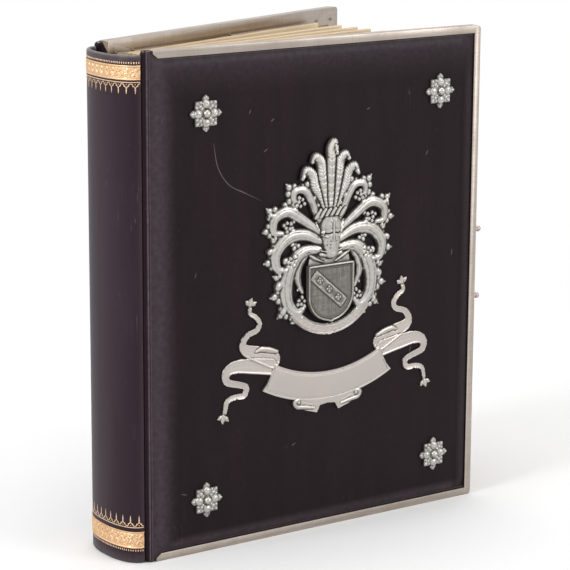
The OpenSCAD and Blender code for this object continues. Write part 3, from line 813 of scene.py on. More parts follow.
def shader_group(name: str, inputs: dict[str, object], outputs: Sequence[str], fill: Callable) -> NodeTree:
    """Builds a shader node group with named sockets.

    Args:
        name: Name of the group.
        inputs: Default value of each input; None makes it a vector.
        outputs: Names of the outputs, which are values.
        fill: Function of (nodes, input sockets) that returns a socket for each output.

    Returns:
        The group.
    """
    tree = bpy.data.node_groups.new(name, "ShaderNodeTree")
    for key, value in inputs.items():
        kind = "NodeSocketVector" if value is None else "NodeSocketFloat"
        socket = tree.interface.new_socket(key, in_out="INPUT", socket_type=kind)
        if value is not None:
            socket.default_value = value
    for key in outputs:
        tree.interface.new_socket(key, in_out="OUTPUT", socket_type="NodeSocketFloat")
    nodes = Nodes(tree)
    entry = nodes.add("NodeGroupInput")
    leave = nodes.add("NodeGroupOutput")
    for socket, result in zip(leave.inputs, fill(nodes, entry.outputs)):
        tree.links.new(result, socket)
    return tree


def fill_scratches(nodes: Nodes, given: bpy.types.bpy_prop_collection) -> list[NodeSocket]:
    """Draws thin scratches in three directions, each broken up by a coarse pattern."""
    total: object = 0.0
    for turn, scale in ((0.6, 1.0), (-0.9, 0.7), (1.9, 0.5)):
        size = (14 * scale, 14 * scale, 0.45 * scale)
        line = nodes.noise(nodes.stretched(given["Vector"], size, (turn * 0.4, turn, turn * 0.7)), 34.0, 1.0)
        thin = nodes.ramp(nodes.math("ABSOLUTE", nodes.minus(line, 0.5)), 0.0, 0.006, 1.0, 0.0)
        where = nodes.noise(nodes.stretched(given["Vector"], (1, 1, 1), (turn, 0, turn)), 26.0, 2.0)
        chosen = nodes.ramp(where, nodes.minus(0.74, nodes.times(given["Amount"], 0.2)), 0.78)
        total = nodes.math("MAXIMUM", total, nodes.times(thin, chosen))
    return [total]


def fill_grain(nodes: Nodes, given: bpy.types.bpy_prop_collection) -> list[NodeSocket]:
    """Makes the fine pebbled grain of calf leather."""
    place = {"Vector": given["Vector"], "Scale": given["Scale"]}
    cells = nodes.add("ShaderNodeTexVoronoi", {"feature": "SMOOTH_F1"}, Smoothness=0.6, **place).outputs[0]
    return [nodes.plus(nodes.times(cells, 0.7), nodes.times(nodes.noise(given["Vector"], 2600.0, 2.0), 0.3))]


def fill_brushed(nodes: Nodes, given: bpy.types.bpy_prop_collection) -> list[NodeSocket]:
    """Makes fine brush lines along the height and along the width, and soft smears."""
    along = nodes.noise(nodes.stretched(given["Vector"], (1.0, 1.0, 0.03)), 1500.0)
    over = nodes.noise(nodes.stretched(given["Vector"], (0.04, 0.04, 1.0)), 1300.0)
    lines = nodes.plus(nodes.times(along, 0.55), nodes.times(over, 0.45))
    return [lines, nodes.noise(given["Vector"], 30.0, 6.0)]


@dataclass
class Effects:
    """Shader groups that several finishes share."""

    scratches: NodeTree
    grain: NodeTree
    brushed: NodeTree

    @classmethod
    def build(cls) -> "Effects":
        """Builds the groups once."""
        where = {"Vector": None}
        return cls(
            scratches=shader_group("fine_scratches", where | {"Amount": 0.5}, ["Mask"], fill_scratches),
            grain=shader_group("leather_grain", where | {"Scale": 900.0}, ["Height"], fill_grain),
            brushed=shader_group("brush_lines", where, ["Lines", "Smears"], fill_brushed),
        )


def colour(red: float, green: float, blue: float) -> tuple[float, float, float, float]:
    """Gives a linear colour with full alpha."""
    return (red, green, blue, 1.0)


def new_material(name: str) -> tuple[Material, Nodes, Node]:
    """Makes an empty material.

    Args:
        name: Name of the material.

    Returns:
        The material, its nodes and its Principled BSDF.
    """
    material = bpy.data.materials.new(name)
    material.use_nodes = True
    material.node_tree.nodes.clear()
    nodes = Nodes(material.node_tree)
    shader = nodes.add("ShaderNodeBsdfPrincipled")
    nodes.add("ShaderNodeOutputMaterial", Surface=shader.outputs[0])
    return material, nodes, shader


@dataclass(frozen=True)
class Finish:
    """A material whose patterns lie on the object's own coordinates."""

    name: str

    def build(self, effects: Effects) -> Material:
        """Makes the material."""
        material, nodes, shader = new_material(self.name)
        where = nodes.add("ShaderNodeTexCoord").outputs["Object"]
        nodes.wire(shader, **self.inputs(nodes, where, effects))
        return material

    def inputs(self, nodes: Nodes, where: NodeSocket, effects: Effects) -> dict[str, object]:
        """Gives what each input of the shader gets.

        Args:
            nodes: Nodes of the material.
            where: Place on the object.
            effects: The shared shader groups.

        Returns:
            Values and sockets by the input's name, with _ for a space.
        """
        raise NotImplementedError


@dataclass(frozen=True)
class LeatherFinish(Finish):
    """Polished calf leather, pale on its ridges from rubbing and painted highlights, and marked by handling."""

    deep: tuple = colour(0.0086, 0.0037, 0.0053)
    light: tuple = colour(0.0118, 0.0054, 0.0076)
    # worn: pale colour of rubbed spots, scratches and dust, and of the painted highlights.
    worn: tuple = colour(0.165, 0.13, 0.15)
    roughness: float = 0.4
    polish: float = 0.1

    def inputs(self, nodes: Nodes, where: NodeSocket, effects: Effects) -> dict[str, object]:
        """Streaks the leather, pales it along its ridges with rubbing and painted highlights, and marks it with
        scratches.
        """
        grain = nodes.group(effects.grain, Vector=where, Scale=1100.0)["Height"]
        marks = nodes.group(effects.scratches, Vector=where, Amount=0.55)["Mask"]
        patches = nodes.ramp(nodes.noise(where, 260.0, 4.0), 0.25, 0.75, 0.62, 1.0)
        # The cavity attribute of the leather holds its rubbing and painted highlights; rubbed pales the leather
        # towards the worn colour there.
        rubbed = nodes.times(nodes.attribute("cavity"), patches)
        streaks = nodes.noise(nodes.stretched(where, (60.0, 60.0, 7.0)), 1.0)
        dust = nodes.ramp(nodes.noise(where, 900.0, 2.0), 0.73, 0.79)
        base = nodes.mix(nodes.ramp(streaks, 0.3, 0.7), self.deep, self.light)
        for mask, share in ((rubbed, 0.6), (marks, 0.35), (dust, 0.3)):
            base = nodes.mix(nodes.times(mask, share), base, self.worn)
        return dict(
            Base_Color=base,
            Roughness=nodes.plus(nodes.times(marks, 0.15), self.roughness),
            Specular_IOR_Level=self.polish,
            Normal=nodes.bump(nodes.minus(grain, nodes.times(marks, 0.8)), 0.00005, 0.45),
        )


@dataclass(frozen=True)
class SheetMetalFinish(Finish):
    """Brushed, aged sheet metal with fine lines and soft tarnish."""

    bright: tuple = colour(0.46, 0.405, 0.36)
    tarnish: tuple = colour(0.25, 0.205, 0.165)
    roughness: float = 0.36

    def inputs(self, nodes: Nodes, where: NodeSocket, effects: Effects) -> dict[str, object]:
        """Brushes the metal and tarnishes it in smears, spots and lines."""
        brushed = nodes.group(effects.brushed, Vector=where)
        marks = nodes.group(effects.scratches, Vector=where, Amount=0.8)["Mask"]
        lines, smears = brushed["Lines"], brushed["Smears"]
        spots = nodes.ramp(nodes.noise(where, 420.0, 5.0), 0.6, 0.78)
        base = nodes.mix(nodes.ramp(smears, 0.4, 0.8, 0.0, 0.45), self.bright, self.tarnish)
        base = nodes.mix(nodes.times(spots, 0.35), base, self.tarnish)
        base = nodes.mix(nodes.ramp(lines, 0.35, 0.65, 0.4, 0.0), base, self.tarnish)
        gloss = nodes.ramp(smears, 0.3, 0.8, self.roughness - 0.04, self.roughness + 0.1)
        return dict(
            Base_Color=base,
            Roughness=nodes.plus(gloss, nodes.times(marks, 0.2)),
            Metallic=1.0,
            Normal=nodes.bump(nodes.plus(lines, nodes.times(marks, -0.6)), 0.00004, 0.5),
        )


@dataclass(frozen=True)
class CastMetalFinish(Finish):
    """Cast and chased metal, bright where it is rubbed and dark in its hollows."""

    bright: tuple = colour(0.50, 0.48, 0.46)
    warm: tuple = colour(0.50, 0.455, 0.4)
    hollow: tuple = colour(0.055, 0.048, 0.042)
    roughness: float = 0.31
    dark_from: float = 0.34
    dark_to: float = 0.84
    hatch: float = 0.0
    patchy: float = 0.5

    def inputs(self, nodes: Nodes, where: NodeSocket, effects: Effects) -> dict[str, object]:
        """Darkens the hollows unevenly and leaves warm smears on the rest."""
        brushed = nodes.group(effects.brushed, Vector=where)
        uneven = nodes.times(nodes.minus(nodes.noise(where, 330.0, 5.0), 0.5), self.patchy)
        dark = nodes.ramp(nodes.plus(nodes.attribute("cavity"), uneven), self.dark_from, self.dark_to)
        metal = nodes.mix(nodes.ramp(brushed["Smears"], 0.4, 0.7, 0.0, 0.5), self.bright, self.warm)
        base = nodes.mix(dark, metal, self.hollow)
        if self.hatch > 0:
            base = nodes.mix(nodes.ramp(brushed["Lines"], 0.38, 0.6, self.hatch, 0.0), base, self.hollow)
        return dict(
            Base_Color=base,
            Roughness=nodes.plus(nodes.times(dark, 0.35), self.roughness),
            Metallic=nodes.ramp(dark, 0.0, 1.0, 1.0, 0.55),
            Normal=nodes.bump(nodes.noise(where, 1900.0), 0.00005, 0.5),
        )


@dataclass(frozen=True)
class GiltFinish(Finish):
    """Gold leaf laid on leather or on the edges of card, worn through in places."""

    gold: tuple = colour(0.90, 0.66, 0.40)
    shade: tuple = colour(0.50, 0.30, 0.13)
    under: tuple = colour(0.03, 0.02, 0.018)
    roughness: float = 0.38
    worn: float = 0.0
    plies: float = 0.0

    def inputs(self, nodes: Nodes, where: NodeSocket, effects: Effects) -> dict[str, object]:
        """Clouds the gold, darkens it with painted shade in the hollows of its relief, and shows the plies of
        the card or the leather under it.
        """
        cloud = nodes.noise(where, 130.0, 4.0)
        base = nodes.mix(nodes.ramp(cloud, 0.35, 0.75, 0.0, 0.5), self.gold, self.shade)
        # Painted shade: the gold darkens towards the shade colour in the hollows of the relief.
        base = nodes.mix(nodes.ramp(nodes.attribute("cavity"), 0.5, 0.95, 0.0, 0.85), base, self.shade)
        metal: object = 1.0
        if self.plies > 0:
            layer = nodes.add("ShaderNodeUVMap").outputs[0]
            lines = nodes.noise(nodes.stretched(layer, (0.02, 3.2, 1.0)), 1.0, 4.0)
            base = nodes.mix(nodes.ramp(lines, 0.4, 0.62, self.plies, 0.0), base, self.shade)
        if self.worn > 0:
            gone = nodes.ramp(nodes.noise(where, 700.0, 5.0), 0.68 - self.worn * 0.3, 0.78)
            base = nodes.mix(gone, base, self.under)
            metal = nodes.ramp(gone, 0.0, 1.0, 1.0, 0.0)
        return dict(
            Base_Color=base,
            Roughness=nodes.ramp(cloud, 0.3, 0.8, self.roughness - 0.06, self.roughness + 0.14),
            Metallic=metal,
            Normal=nodes.bump(nodes.noise(where, 1500.0), 0.00004, 0.45),
        )


@dataclass(frozen=True)
class PaperFinish(Finish):
    """Card, paper or board with faint fibres and age stains."""

    base: tuple = colour(0.72, 0.60, 0.42)
    stain: tuple = colour(0.52, 0.38, 0.22)
    roughness: float = 0.7

    def inputs(self, nodes: Nodes, where: NodeSocket, effects: Effects) -> dict[str, object]:
        """Stains the card in clouds, spots and fibres."""
        fibres = nodes.noise(nodes.stretched(where, (1.0, 1.0, 0.2)), 1400.0, 4.0)
        spots = nodes.ramp(nodes.noise(where, 240.0, 2.0), 0.74, 0.82)
        tone = nodes.mix(nodes.ramp(nodes.noise(where, 18.0, 5.0), 0.4, 0.8, 0.0, 0.6), self.base, self.stain)
        tone = nodes.mix(nodes.times(spots, 0.3), tone, self.stain)
        tone = nodes.mix(nodes.ramp(fibres, 0.4, 0.65, 0.1, 0.0), tone, self.stain)
        return dict(Base_Color=tone, Roughness=self.roughness, Normal=nodes.bump(fibres, 0.00005, 0.4))


@dataclass(frozen=True)
class ClothFinish(Finish):
    """Woven cloth, plain linen or watered silk."""

    base: tuple = colour(0.55, 0.47, 0.33)
    shade: tuple = colour(0.33, 0.26, 0.17)
    threads: float = 2200.0
    water: float = 0.0
    roughness: float = 0.75

    def inputs(self, nodes: Nodes, where: NodeSocket, effects: Effects) -> dict[str, object]:
        """Weaves the cloth, and waters silk with wavy rings."""
        warp = nodes.noise(nodes.stretched(where, (1.0, 1.0, 0.05)), self.threads, 2.0)
        weft = nodes.noise(nodes.stretched(where, (0.06, 0.06, 1.0)), self.threads, 2.0)
        weave = nodes.times(nodes.plus(warp, weft), 0.5)
        tone = nodes.mix(nodes.ramp(weave, 0.38, 0.6), self.shade, self.base)
        gloss: object = self.roughness
        if self.water > 0:
            bent = nodes.noise(nodes.stretched(where, (1.0, 1.0, 0.22)), 34.0)
            moire = nodes.ramp(nodes.math("SINE", nodes.times(bent, 95.0)), -0.5, 0.9)
            tone = nodes.mix(nodes.times(moire, self.water), tone, self.base)
            gloss = nodes.ramp(moire, 0.0, 1.0, self.roughness, self.roughness - 0.22)
        normal = nodes.bump(weave, 0.00012, 0.5)
        return dict(Base_Color=tone, Roughness=gloss, Normal=normal, Sheen_Weight=0.25, Sheen_Roughness=0.4)


@dataclass
class Finishes:
    """Every material of the album."""

    leather: Material
    painted_sheen_spine: Material
    scuffed: Material
    frame_metal: Material
    cast: Material
    shield: Material
    ribbon: Material
    nails: Material
    gilt: Material
    tooling: Material
    edge: Material
    card: Material
    mount: Material
    board: Material
    linen: Material
    silk: Material
    thread: Material
    red_thread: Material

    @classmethod
    def build(cls) -> "Finishes":
        """Builds each material once."""
        effects = Effects.build()
        finishes = dict(
            leather=LeatherFinish("dark_calf"),
            # The spine's leather: a copy of the dark calf with more gloss, whose lighter colour is a painted
            # sheen and whose pale worn colour serves the rubbed cap and foot and paints the highlight along the
            # head's rim.
            painted_sheen_spine=LeatherFinish(
                "painted_sheen_spine_calf", deep=colour(0.0215, 0.0105, 0.0165), light=colour(0.028, 0.0145, 0.0225),
                worn=colour(0.3, 0.27, 0.27), polish=0.16,
            ),
            scuffed=LeatherFinish(
                "scuffed_calf", deep=colour(0.05, 0.036, 0.038), light=colour(0.14, 0.11, 0.105), roughness=0.5,
            ),
            frame_metal=SheetMetalFinish("brushed_frame_metal"),
            cast=CastMetalFinish("chased_cast_metal"),
            shield=CastMetalFinish(
                "oxidised_shield_metal", bright=colour(0.46, 0.43, 0.4), hollow=colour(0.1, 0.09, 0.082),
                roughness=0.36, dark_from=0.28, dark_to=0.62, hatch=0.5, patchy=0.15,
            ),
            ribbon=CastMetalFinish(
                "smooth_ribbon_metal", bright=colour(0.46, 0.425, 0.4),
                roughness=0.36, dark_from=0.56, dark_to=0.92,
            ),
            nails=CastMetalFinish("domed_nail_metal", bright=colour(0.2, 0.155, 0.1), roughness=0.4),
            gilt=GiltFinish(
                "gilt_relief_band", gold=colour(0.84, 0.57, 0.35), shade=colour(0.52, 0.31, 0.15),
                roughness=0.48,
            ),
            tooling=GiltFinish("gilt_tooling", gold=colour(0.84, 0.60, 0.42), worn=0.2),
            edge=GiltFinish(
                "gilt_leaf_edge", gold=colour(0.86, 0.62, 0.36), shade=colour(0.45, 0.27, 0.12), roughness=0.42,
                plies=0.55,
            ),
            card=PaperFinish("cream_leaf_card"),
            mount=PaperFinish("window_backing", base=colour(0.42, 0.33, 0.22), stain=colour(0.26, 0.18, 0.1)),
            board=PaperFinish("grey_board", base=colour(0.33, 0.27, 0.19), stain=colour(0.2, 0.15, 0.1)),
            linen=ClothFinish("plain_linen"),
            silk=ClothFinish(
                "watered_silk", base=colour(0.34, 0.25, 0.13), shade=colour(0.17, 0.12, 0.065), threads=3200.0,
                water=0.8, roughness=0.5,
            ),
            thread=ClothFinish("pale_silk_thread", base=colour(0.7, 0.6, 0.42), shade=colour(0.45, 0.35, 0.22)),
            red_thread=ClothFinish(
                "dark_silk_thread", base=colour(0.2, 0.05, 0.045), shade=colour(0.09, 0.02, 0.02)
            ),
        )
        return cls(**{key: finish.build(effects) for key, finish in finishes.items()})


# Beads

def stud_nodes(name: str, turned: bool) -> NodeTree:
    """Builds the tree that sets a domed bead on every point of a mesh.

    Args:
        name: Name of the tree.
        turned: Whether the bead is a dash that lies along the point's "along" direction.

    Returns:
        The tree, with inputs for the bead's radius, its rise, its length and its finish.
    """
    tree = bpy.data.node_groups.new(name, "GeometryNodeTree")
    tree.interface.new_socket("Geometry", in_out="INPUT", socket_type="NodeSocketGeometry")
    for key in ("Radius", "Rise", "Length"):
        tree.interface.new_socket(key, in_out="INPUT", socket_type="NodeSocketFloat")
    tree.interface.new_socket("Finish", in_out="INPUT", socket_type="NodeSocketMaterial")
    tree.interface.new_socket("Geometry", in_out="OUTPUT", socket_type="NodeSocketGeometry")
    nodes = Nodes(tree)
    given = nodes.add("NodeGroupInput").outputs
    bead = nodes.add("GeometryNodeMeshUVSphere", Segments=12, Rings=8, Radius=1.0).outputs[0]
    size = nodes.add("ShaderNodeCombineXYZ", X=given["Length"], Y=given["Radius"], Z=given["Rise"]).outputs[0]
    out, along = (
        nodes.add("GeometryNodeInputNamedAttribute", {"data_type": "FLOAT_VECTOR"}, Name=name).outputs[0]
        for name in ("out", "along")
    )
    align = "FunctionNodeAlignRotationToVector"
    turn = nodes.add(align, {"axis": "Z"}, Vector=out).outputs[0]
    if turned:
        turn = nodes.add(align, {"axis": "X", "pivot_axis": "Z"}, Rotation=turn, Vector=along).outputs[0]
    set_out = nodes.add(
        "GeometryNodeInstanceOnPoints", Points=given["Geometry"], Instance=bead, Rotation=turn, Scale=size
    )
    real = nodes.add("GeometryNodeRealizeInstances", Geometry=set_out.outputs[0])
    smooth = nodes.add("GeometryNodeSetShadeSmooth", Geometry=real.outputs[0])
    dressed = nodes.add("GeometryNodeSetMaterial", Geometry=smooth.outputs[0], Material=given["Finish"])
    tree.links.new(dressed.outputs[0], nodes.add("NodeGroupOutput").inputs[0])
    return tree


@dataclass
class Beading:
    """Sets rows of beads, nail heads or stitches on given points."""

    domes: NodeTree
    dashes: NodeTree

    @classmethod
    def build(cls) -> "Beading":
        """Builds both trees once."""
        return cls(stud_nodes("set_domes", False), stud_nodes("set_dashes", True))

    def scatter(
        self,
        name: str,
        points: np.ndarray,
        out: np.ndarray,
        finish: Material,
        radius: float,
        rise: float,
        along: np.ndarray | None = None,
        length: float | None = None,
    ) -> Object:
        """Makes one mesh of beads.

        Args:
            name: Name of the piece.
            points: Middle of each bead, in metres.
            out: Direction that the beads face, one or one for each point.
            finish: Material of the beads.
            radius: Radius of a bead, in millimetres.
            rise: Height of a bead over its middle.
            along: Direction of each dash, where the beads are dashes.
            length: Half the length of a dash.

        Returns:
            The piece.
        """
        mesh = bpy.data.meshes.new(name)
        mesh.from_pydata(points.tolist(), [], [])
        for key, value in (("out", out), ("along", out if along is None else along)):
            layer = mesh.attributes.new(key, "FLOAT_VECTOR", "POINT")
            layer.data.foreach_set("vector", np.broadcast_to(value, points.shape).astype(float).ravel())
        obj = link(name, mesh)
        tree = self.domes if along is None else self.dashes
        modifier = obj.modifiers.new("beads", "NODES")
        modifier.node_group = tree
        values = {"Radius": radius * MM, "Rise": rise * MM, "Length": (length or radius) * MM, "Finish": finish}
        for item in tree.interface.items_tree:
            if item.in_out == "INPUT" and item.name in values:
                modifier[item.identifier] = values[item.name]
        bake_modifiers(obj)
        for key in ("out", "along"):
            if key in obj.data.attributes:
                obj.data.attributes.remove(obj.data.attributes[key])
        return obj


# Covers

@dataclass
class CoverLeather:
    """The leather of one cover: the ridge at the joint, the valley beside it and the padded panel."""

    plan: Plan
    place: Place
    body: str
    board: float = 1.5
    thick: float = 1.28
    fore_edge: float = 279.7
    wrap: float = 284.2
    valley_u: float = 2.2
    valley_v: float = 3.1
    tray_v: float = 2.6
    shoulder: float = 9.5
    bevel: float = 10.0
    tucked: int = 4
    rounded: int = 25

    def section(self) -> tuple[np.ndarray, np.ndarray, np.ndarray, np.ndarray]:
        """Draws the outer and inner lines of the leather across the cover.

        Returns:
            U and V of the outer line, then U and V of the inner line.
        """
        half = self.plan.half
        turn = np.radians(np.linspace(-90, -270, self.rounded))
        bend = slice(self.tucked, self.tucked + self.rounded)
        tuck = np.linspace(self.plan.frame_from - 0.2, 0, self.tucked, endpoint=False)
        first, last = 30, self.fore_edge - 14
        near = np.linspace(0, first, 61)[1:]
        flat = np.linspace(first, last, 40)[1:]
        far = np.linspace(last, self.fore_edge + 0.4, 30)[1:]
        u = np.concatenate([tuck, half * np.cos(turn), near, flat, far, [self.wrap]])
        drop = (half - self.valley_v) * 0.5 * (1 + np.cos(np.pi * np.clip(u / self.valley_u, 0, 1)))
        v = self._low(u) + drop
        v[:self.tucked] = -half
        v[bend] = half * np.sin(turn)
        low = half - self.thick
        inner_u = u.copy()
        inner_v = np.full(len(u), self.board + 0.02)
        inner_v[:self.tucked] = -low
        inner_u[bend] = low * np.cos(turn)
        inner_v[bend] = np.minimum(low * np.sin(turn), self.board + 0.02)
        return u, v, inner_u, inner_v

    def _low(self, u: np.ndarray) -> np.ndarray:
        """Gives the level that the padded panel rises from."""
        return self.valley_v + (self.tray_v - self.valley_v) * smoothstep(2.4, 5.0, u)

    @staticmethod
    def _bevel(share: np.ndarray) -> np.ndarray:
        """Rises over the bevel, steeply at first and flat at its top."""
        t = np.clip(share, 0, 1)
        return t * (2 - t)

    def _framed(self, u: np.ndarray) -> np.ndarray:
        """Gives 1 where the metal frame covers the ends of the leather, and 0 at the joint."""
        return smoothstep(2.8, self.plan.frame_from, u)

    def _end_line(self, u: np.ndarray, outside: np.ndarray) -> tuple[np.ndarray, np.ndarray]:
        """Gives where the panel's bevel starts at each end and how long it is."""
        line = 0.4 + self._framed(u) * outside * (np.minimum(5.5, 1.6 + u - 2.6) - 0.2)
        length = 1 + (self.bevel - 1) * smoothstep(self.valley_u, self.valley_u + 0.8, u) * outside
        return line, length

    def _levels(self, u: np.ndarray) -> list[np.ndarray]:
        """Lists the heights of the leather's rows, close together at both ends."""
        top = self.plan.height
        low = np.where(self._framed(np.abs(u)) > 0.5, 0.95, 0.4)
        close, even = 6, 17
        ends = np.concatenate([np.linspace(0, close, 31), np.linspace(close, even, 26)[1:]])
        middle = np.linspace(even, top - even, 40)[1:-1]
        rows = [low + step for step in ends]
        rows += [np.full(len(u), step) for step in middle]
        return rows + [top - low - step for step in ends[::-1]]

    def build(self, finishes: Finishes) -> list[Object]:
        """Makes the leather and hangs it on its cover."""
        u, v, inner_u, inner_v = self.section()
        number = np.arange(len(u))
        outside = (number >= self.tucked + self.rounded // 2).astype(float)
        edge = number < self.tucked + self.rounded
        line, length = self._end_line(u, outside)
        side = np.minimum((u - self.valley_u) / self.shoulder, (self.fore_edge - u) / self.bevel)
        side = np.clip(side, 0, 1)
        panel = (u > self.valley_u) * outside
        top = self.plan.height
        rows = []
        wear_and_painted_highlight = []
        for z in self._levels(u):
            depth = np.minimum(z, top - z)
            t = np.clip((depth - line) / length, 0, 1)
            inward = 1 - np.hypot(1 - side, 1 - t)
            raised = v + (self.plan.pad - self._low(u)) * self._bevel(inward) * outside
            capped = np.minimum(raised, v - 1.0 + (self.plan.pad - v + 1.0) * self._bevel(t))
            raised = np.where(outside * u > self.plan.frame_from - 0.3, raised, capped)
            round_end = 1.7 * (1 - np.sqrt(np.clip(1 - (1 - np.clip((depth - 0.4) / 2.4, 0, 1)) ** 2, 0, 1)))
            shrink = np.where(edge, 1 - round_end / self.plan.half, 1)
            rows.append((u * shrink, z, np.where(edge, v * shrink, raised)))
            # Pale leather painted as highlights: ridge gives the ridge's two bright lines, part rubbing and
            # part painted highlight; rim lights the bevel, shoulder the slope beside the joint, head the
            # panel's head end. seam is a paler line just inside the frame's edge.
            ridge = 1.3 * (bump_at(-1.2, 0.5, u) + 0.8 * bump_at(0.6, 0.5, u)) * (v > 2)
            rim = bump_at(0.42, 0.4, inward) * (u > self.valley_u) * np.where(u > 268, 0.2, 0.42)
            seam = bump_at(0.9, 0.4, depth - line) * (u > 8) * 0.8
            shoulder = 0.55 * bump_at(6.0, 10.5, u) * (u > 1.0) * outside
            head = 0.32 * bump_at(6.0, 20.0, top - z) * panel
            wear_and_painted_highlight.append(np.maximum.reduce([ridge, rim, seam, shoulder, head]))
        outer = np.stack([self.place.at(*row) for row in rows])
        inner = np.stack([self.place.at(inner_u, np.clip(z, 1.2, top - 1.2), inner_v) for _, z, _ in rows])
        rub_and_painted_highlight = np.concatenate(wear_and_painted_highlight + [np.zeros(len(u))] * len(rows))
        name = self.body + "_leather_dressed"
        piece = make_piece(name, *shell(outer, inner), [finishes.leather], cavity=rub_and_painted_highlight, crease=50)
        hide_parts(self.body.split("_")[0] + "_leather")
        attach(piece, self.body)
        return [piece] + ([self._scuffs(finishes)] if self.body == "front_cover" else [])

    def _scuffs(self, finishes: Finishes) -> Object:
        """Draws the curved scuff and the small nicks that handling left on the panel."""
        face = self.plan.pad - 0.03
        nicks = (
            (81, 311, 70, 3), (99, 304, 40, 3.5), (93, 283, 35, 4), (182, 306, 20, 3), (24, 46, -15, 5),
            (236, 268, 60, 4), (224, 120, 80, 6), (118, 66, 25, 4), (262, 190, 85, 5), (36, 200, 75, 4),
        )
        marks = [curve([(51.5, 293), (55, 276), (64, 263), (78, 255.5), (92, 248.5)], 9)]
        marks += [curve([(u, z), polar((u, z), lean, long)], 5) for u, z, lean, long in nicks]
        strips = []
        for path in marks:
            share = np.linspace(0, 1, len(path))
            half = 0.4 * np.sqrt(np.clip(1 - (2 * share - 1) ** 2, 0.08, 1))[:, None]
            aside = directions(path)[1] * half
            ring = np.stack([path + aside, path - aside, path - aside, path + aside], axis=1)
            level = face + np.array([0.05, 0.05, -0.05, -0.05])
            strips.append(sweep(np.stack([self.place.at(row[:, 0], row[:, 1], level) for row in ring])))
        piece = make_piece("handling_scuffs", *merged(strips), [finishes.scuffed])
        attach(piece, self.body)
        return piece


@dataclass
class CoverMetal:
    """The metal channel of one cover with its nails, and the board and lining that it holds."""

    plan: Plan
    place: Place
    body: str
    flange_in: float = 13.0
    nail_inset: float = 9.0
    nail_pair: float = 19.0
    head: float = 1.5
    lining_v: float = -3.57

    def nail_places(self) -> np.ndarray:
        """Lists U and Z of the nails."""
        near = self.plan.frame_from + self.nail_inset
        far = self.plan.width - self.nail_inset
        across = [near, near + self.nail_pair, (near + far) / 2, far - self.nail_pair, far]
        places = [(u, z) for z in (self.nail_inset, self.plan.height - self.nail_inset) for u in across]
        low = self.nail_inset + self.nail_pair
        rise = self.plan.height - 2 * low
        places += [(far, low + rise * k / 4) for k in range(5)]
        return np.array(places)

    def build(self, finishes: Finishes, beading: Beading) -> list[Object]:
        """Makes the frame, its nails and the lining."""
        side = self.body.split("_")[0]
        frame = dressed_copy(side + "_frame_dressed", side + "_frame", finishes.frame_metal, 0.22)
        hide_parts(side + "_frame")
        lining = dressed_copy(side + "_lining", side + "_doublure", finishes.silk, 0.2)
        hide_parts(side + "_doublure")
        spots = self.nail_places()
        points = self.place.at(spots[:, 0], spots[:, 1], -self.plan.half - 0.02)
        out = self.place.vector(0, 0, -1)
        heads = beading.scatter(side + "_nail_heads", points, out, finishes.nails, self.head, 0.5)
        fillet = self._fillet(finishes, side)
        tongues = self._tongues(finishes, side)
        for piece in (frame, lining, heads, fillet, tongues):
            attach(piece, self.body)
        dress_node(side + "_nails", finishes.nails)
        dress_node(side + "_board", finishes.board)
        return [frame, lining, heads, fillet, tongues]

    def _tongues(self, finishes: Finishes, side: str) -> Object:
        """Lays the slanting ends of the inner flange over the leather at the joint."""
        sheets = []
        tall = self.plan.height
        faces = [[0, 1, 2], [5, 4, 3]] + [[k, k + 3, (k + 1) % 3 + 3, (k + 1) % 3] for k in range(3)]
        for end, inner in ((tall - 0.3, tall - 8.6), (0.3, 8.6)):
            corners = np.array([(-1.8, end), (4.2, end), (4.2, inner)])
            loops = [self.place.at(corners[:, 0], corners[:, 1], d - self.plan.half) for d in (0.02, -0.16)]
            sheets.append((np.concatenate(loops), faces))
        piece = make_piece(side + "_frame_tongues", *merged(sheets), [finishes.frame_metal])
        return piece

    def _fillet(self, finishes: Finishes, side: str) -> Object:
        """Tools a gilt double line on the lining."""
        lines = []
        faces = []
        for k in range(4):
            n = (k + 1) % 4
            faces += [[k, n, n + 4, k + 4], [k + 8, k + 12, n + 12, n + 8]]
            faces += [[k, k + 8, n + 8, n], [k + 4, n + 4, n + 12, k + 12]]
        for inset, width in ((20.0, 0.9), (22.4, 0.45)):
            corners = []
            for grow in (0, width):
                left, low = self.plan.frame_from + inset - self.flange_in + grow, inset + grow
                right, high = self.plan.width - inset - grow, self.plan.height - inset - grow
                corners += [(left, low), (right, low), (right, high), (left, high)]
            u, z = np.array(corners).T
            loops = [self.place.at(u, z, self.lining_v + d) for d in (0.15, -0.05)]
            lines.append((np.concatenate(loops), faces))
        piece = make_piece(side + "_gilt_fillet", *merged(lines), [finishes.tooling])
        return piece


# Spine

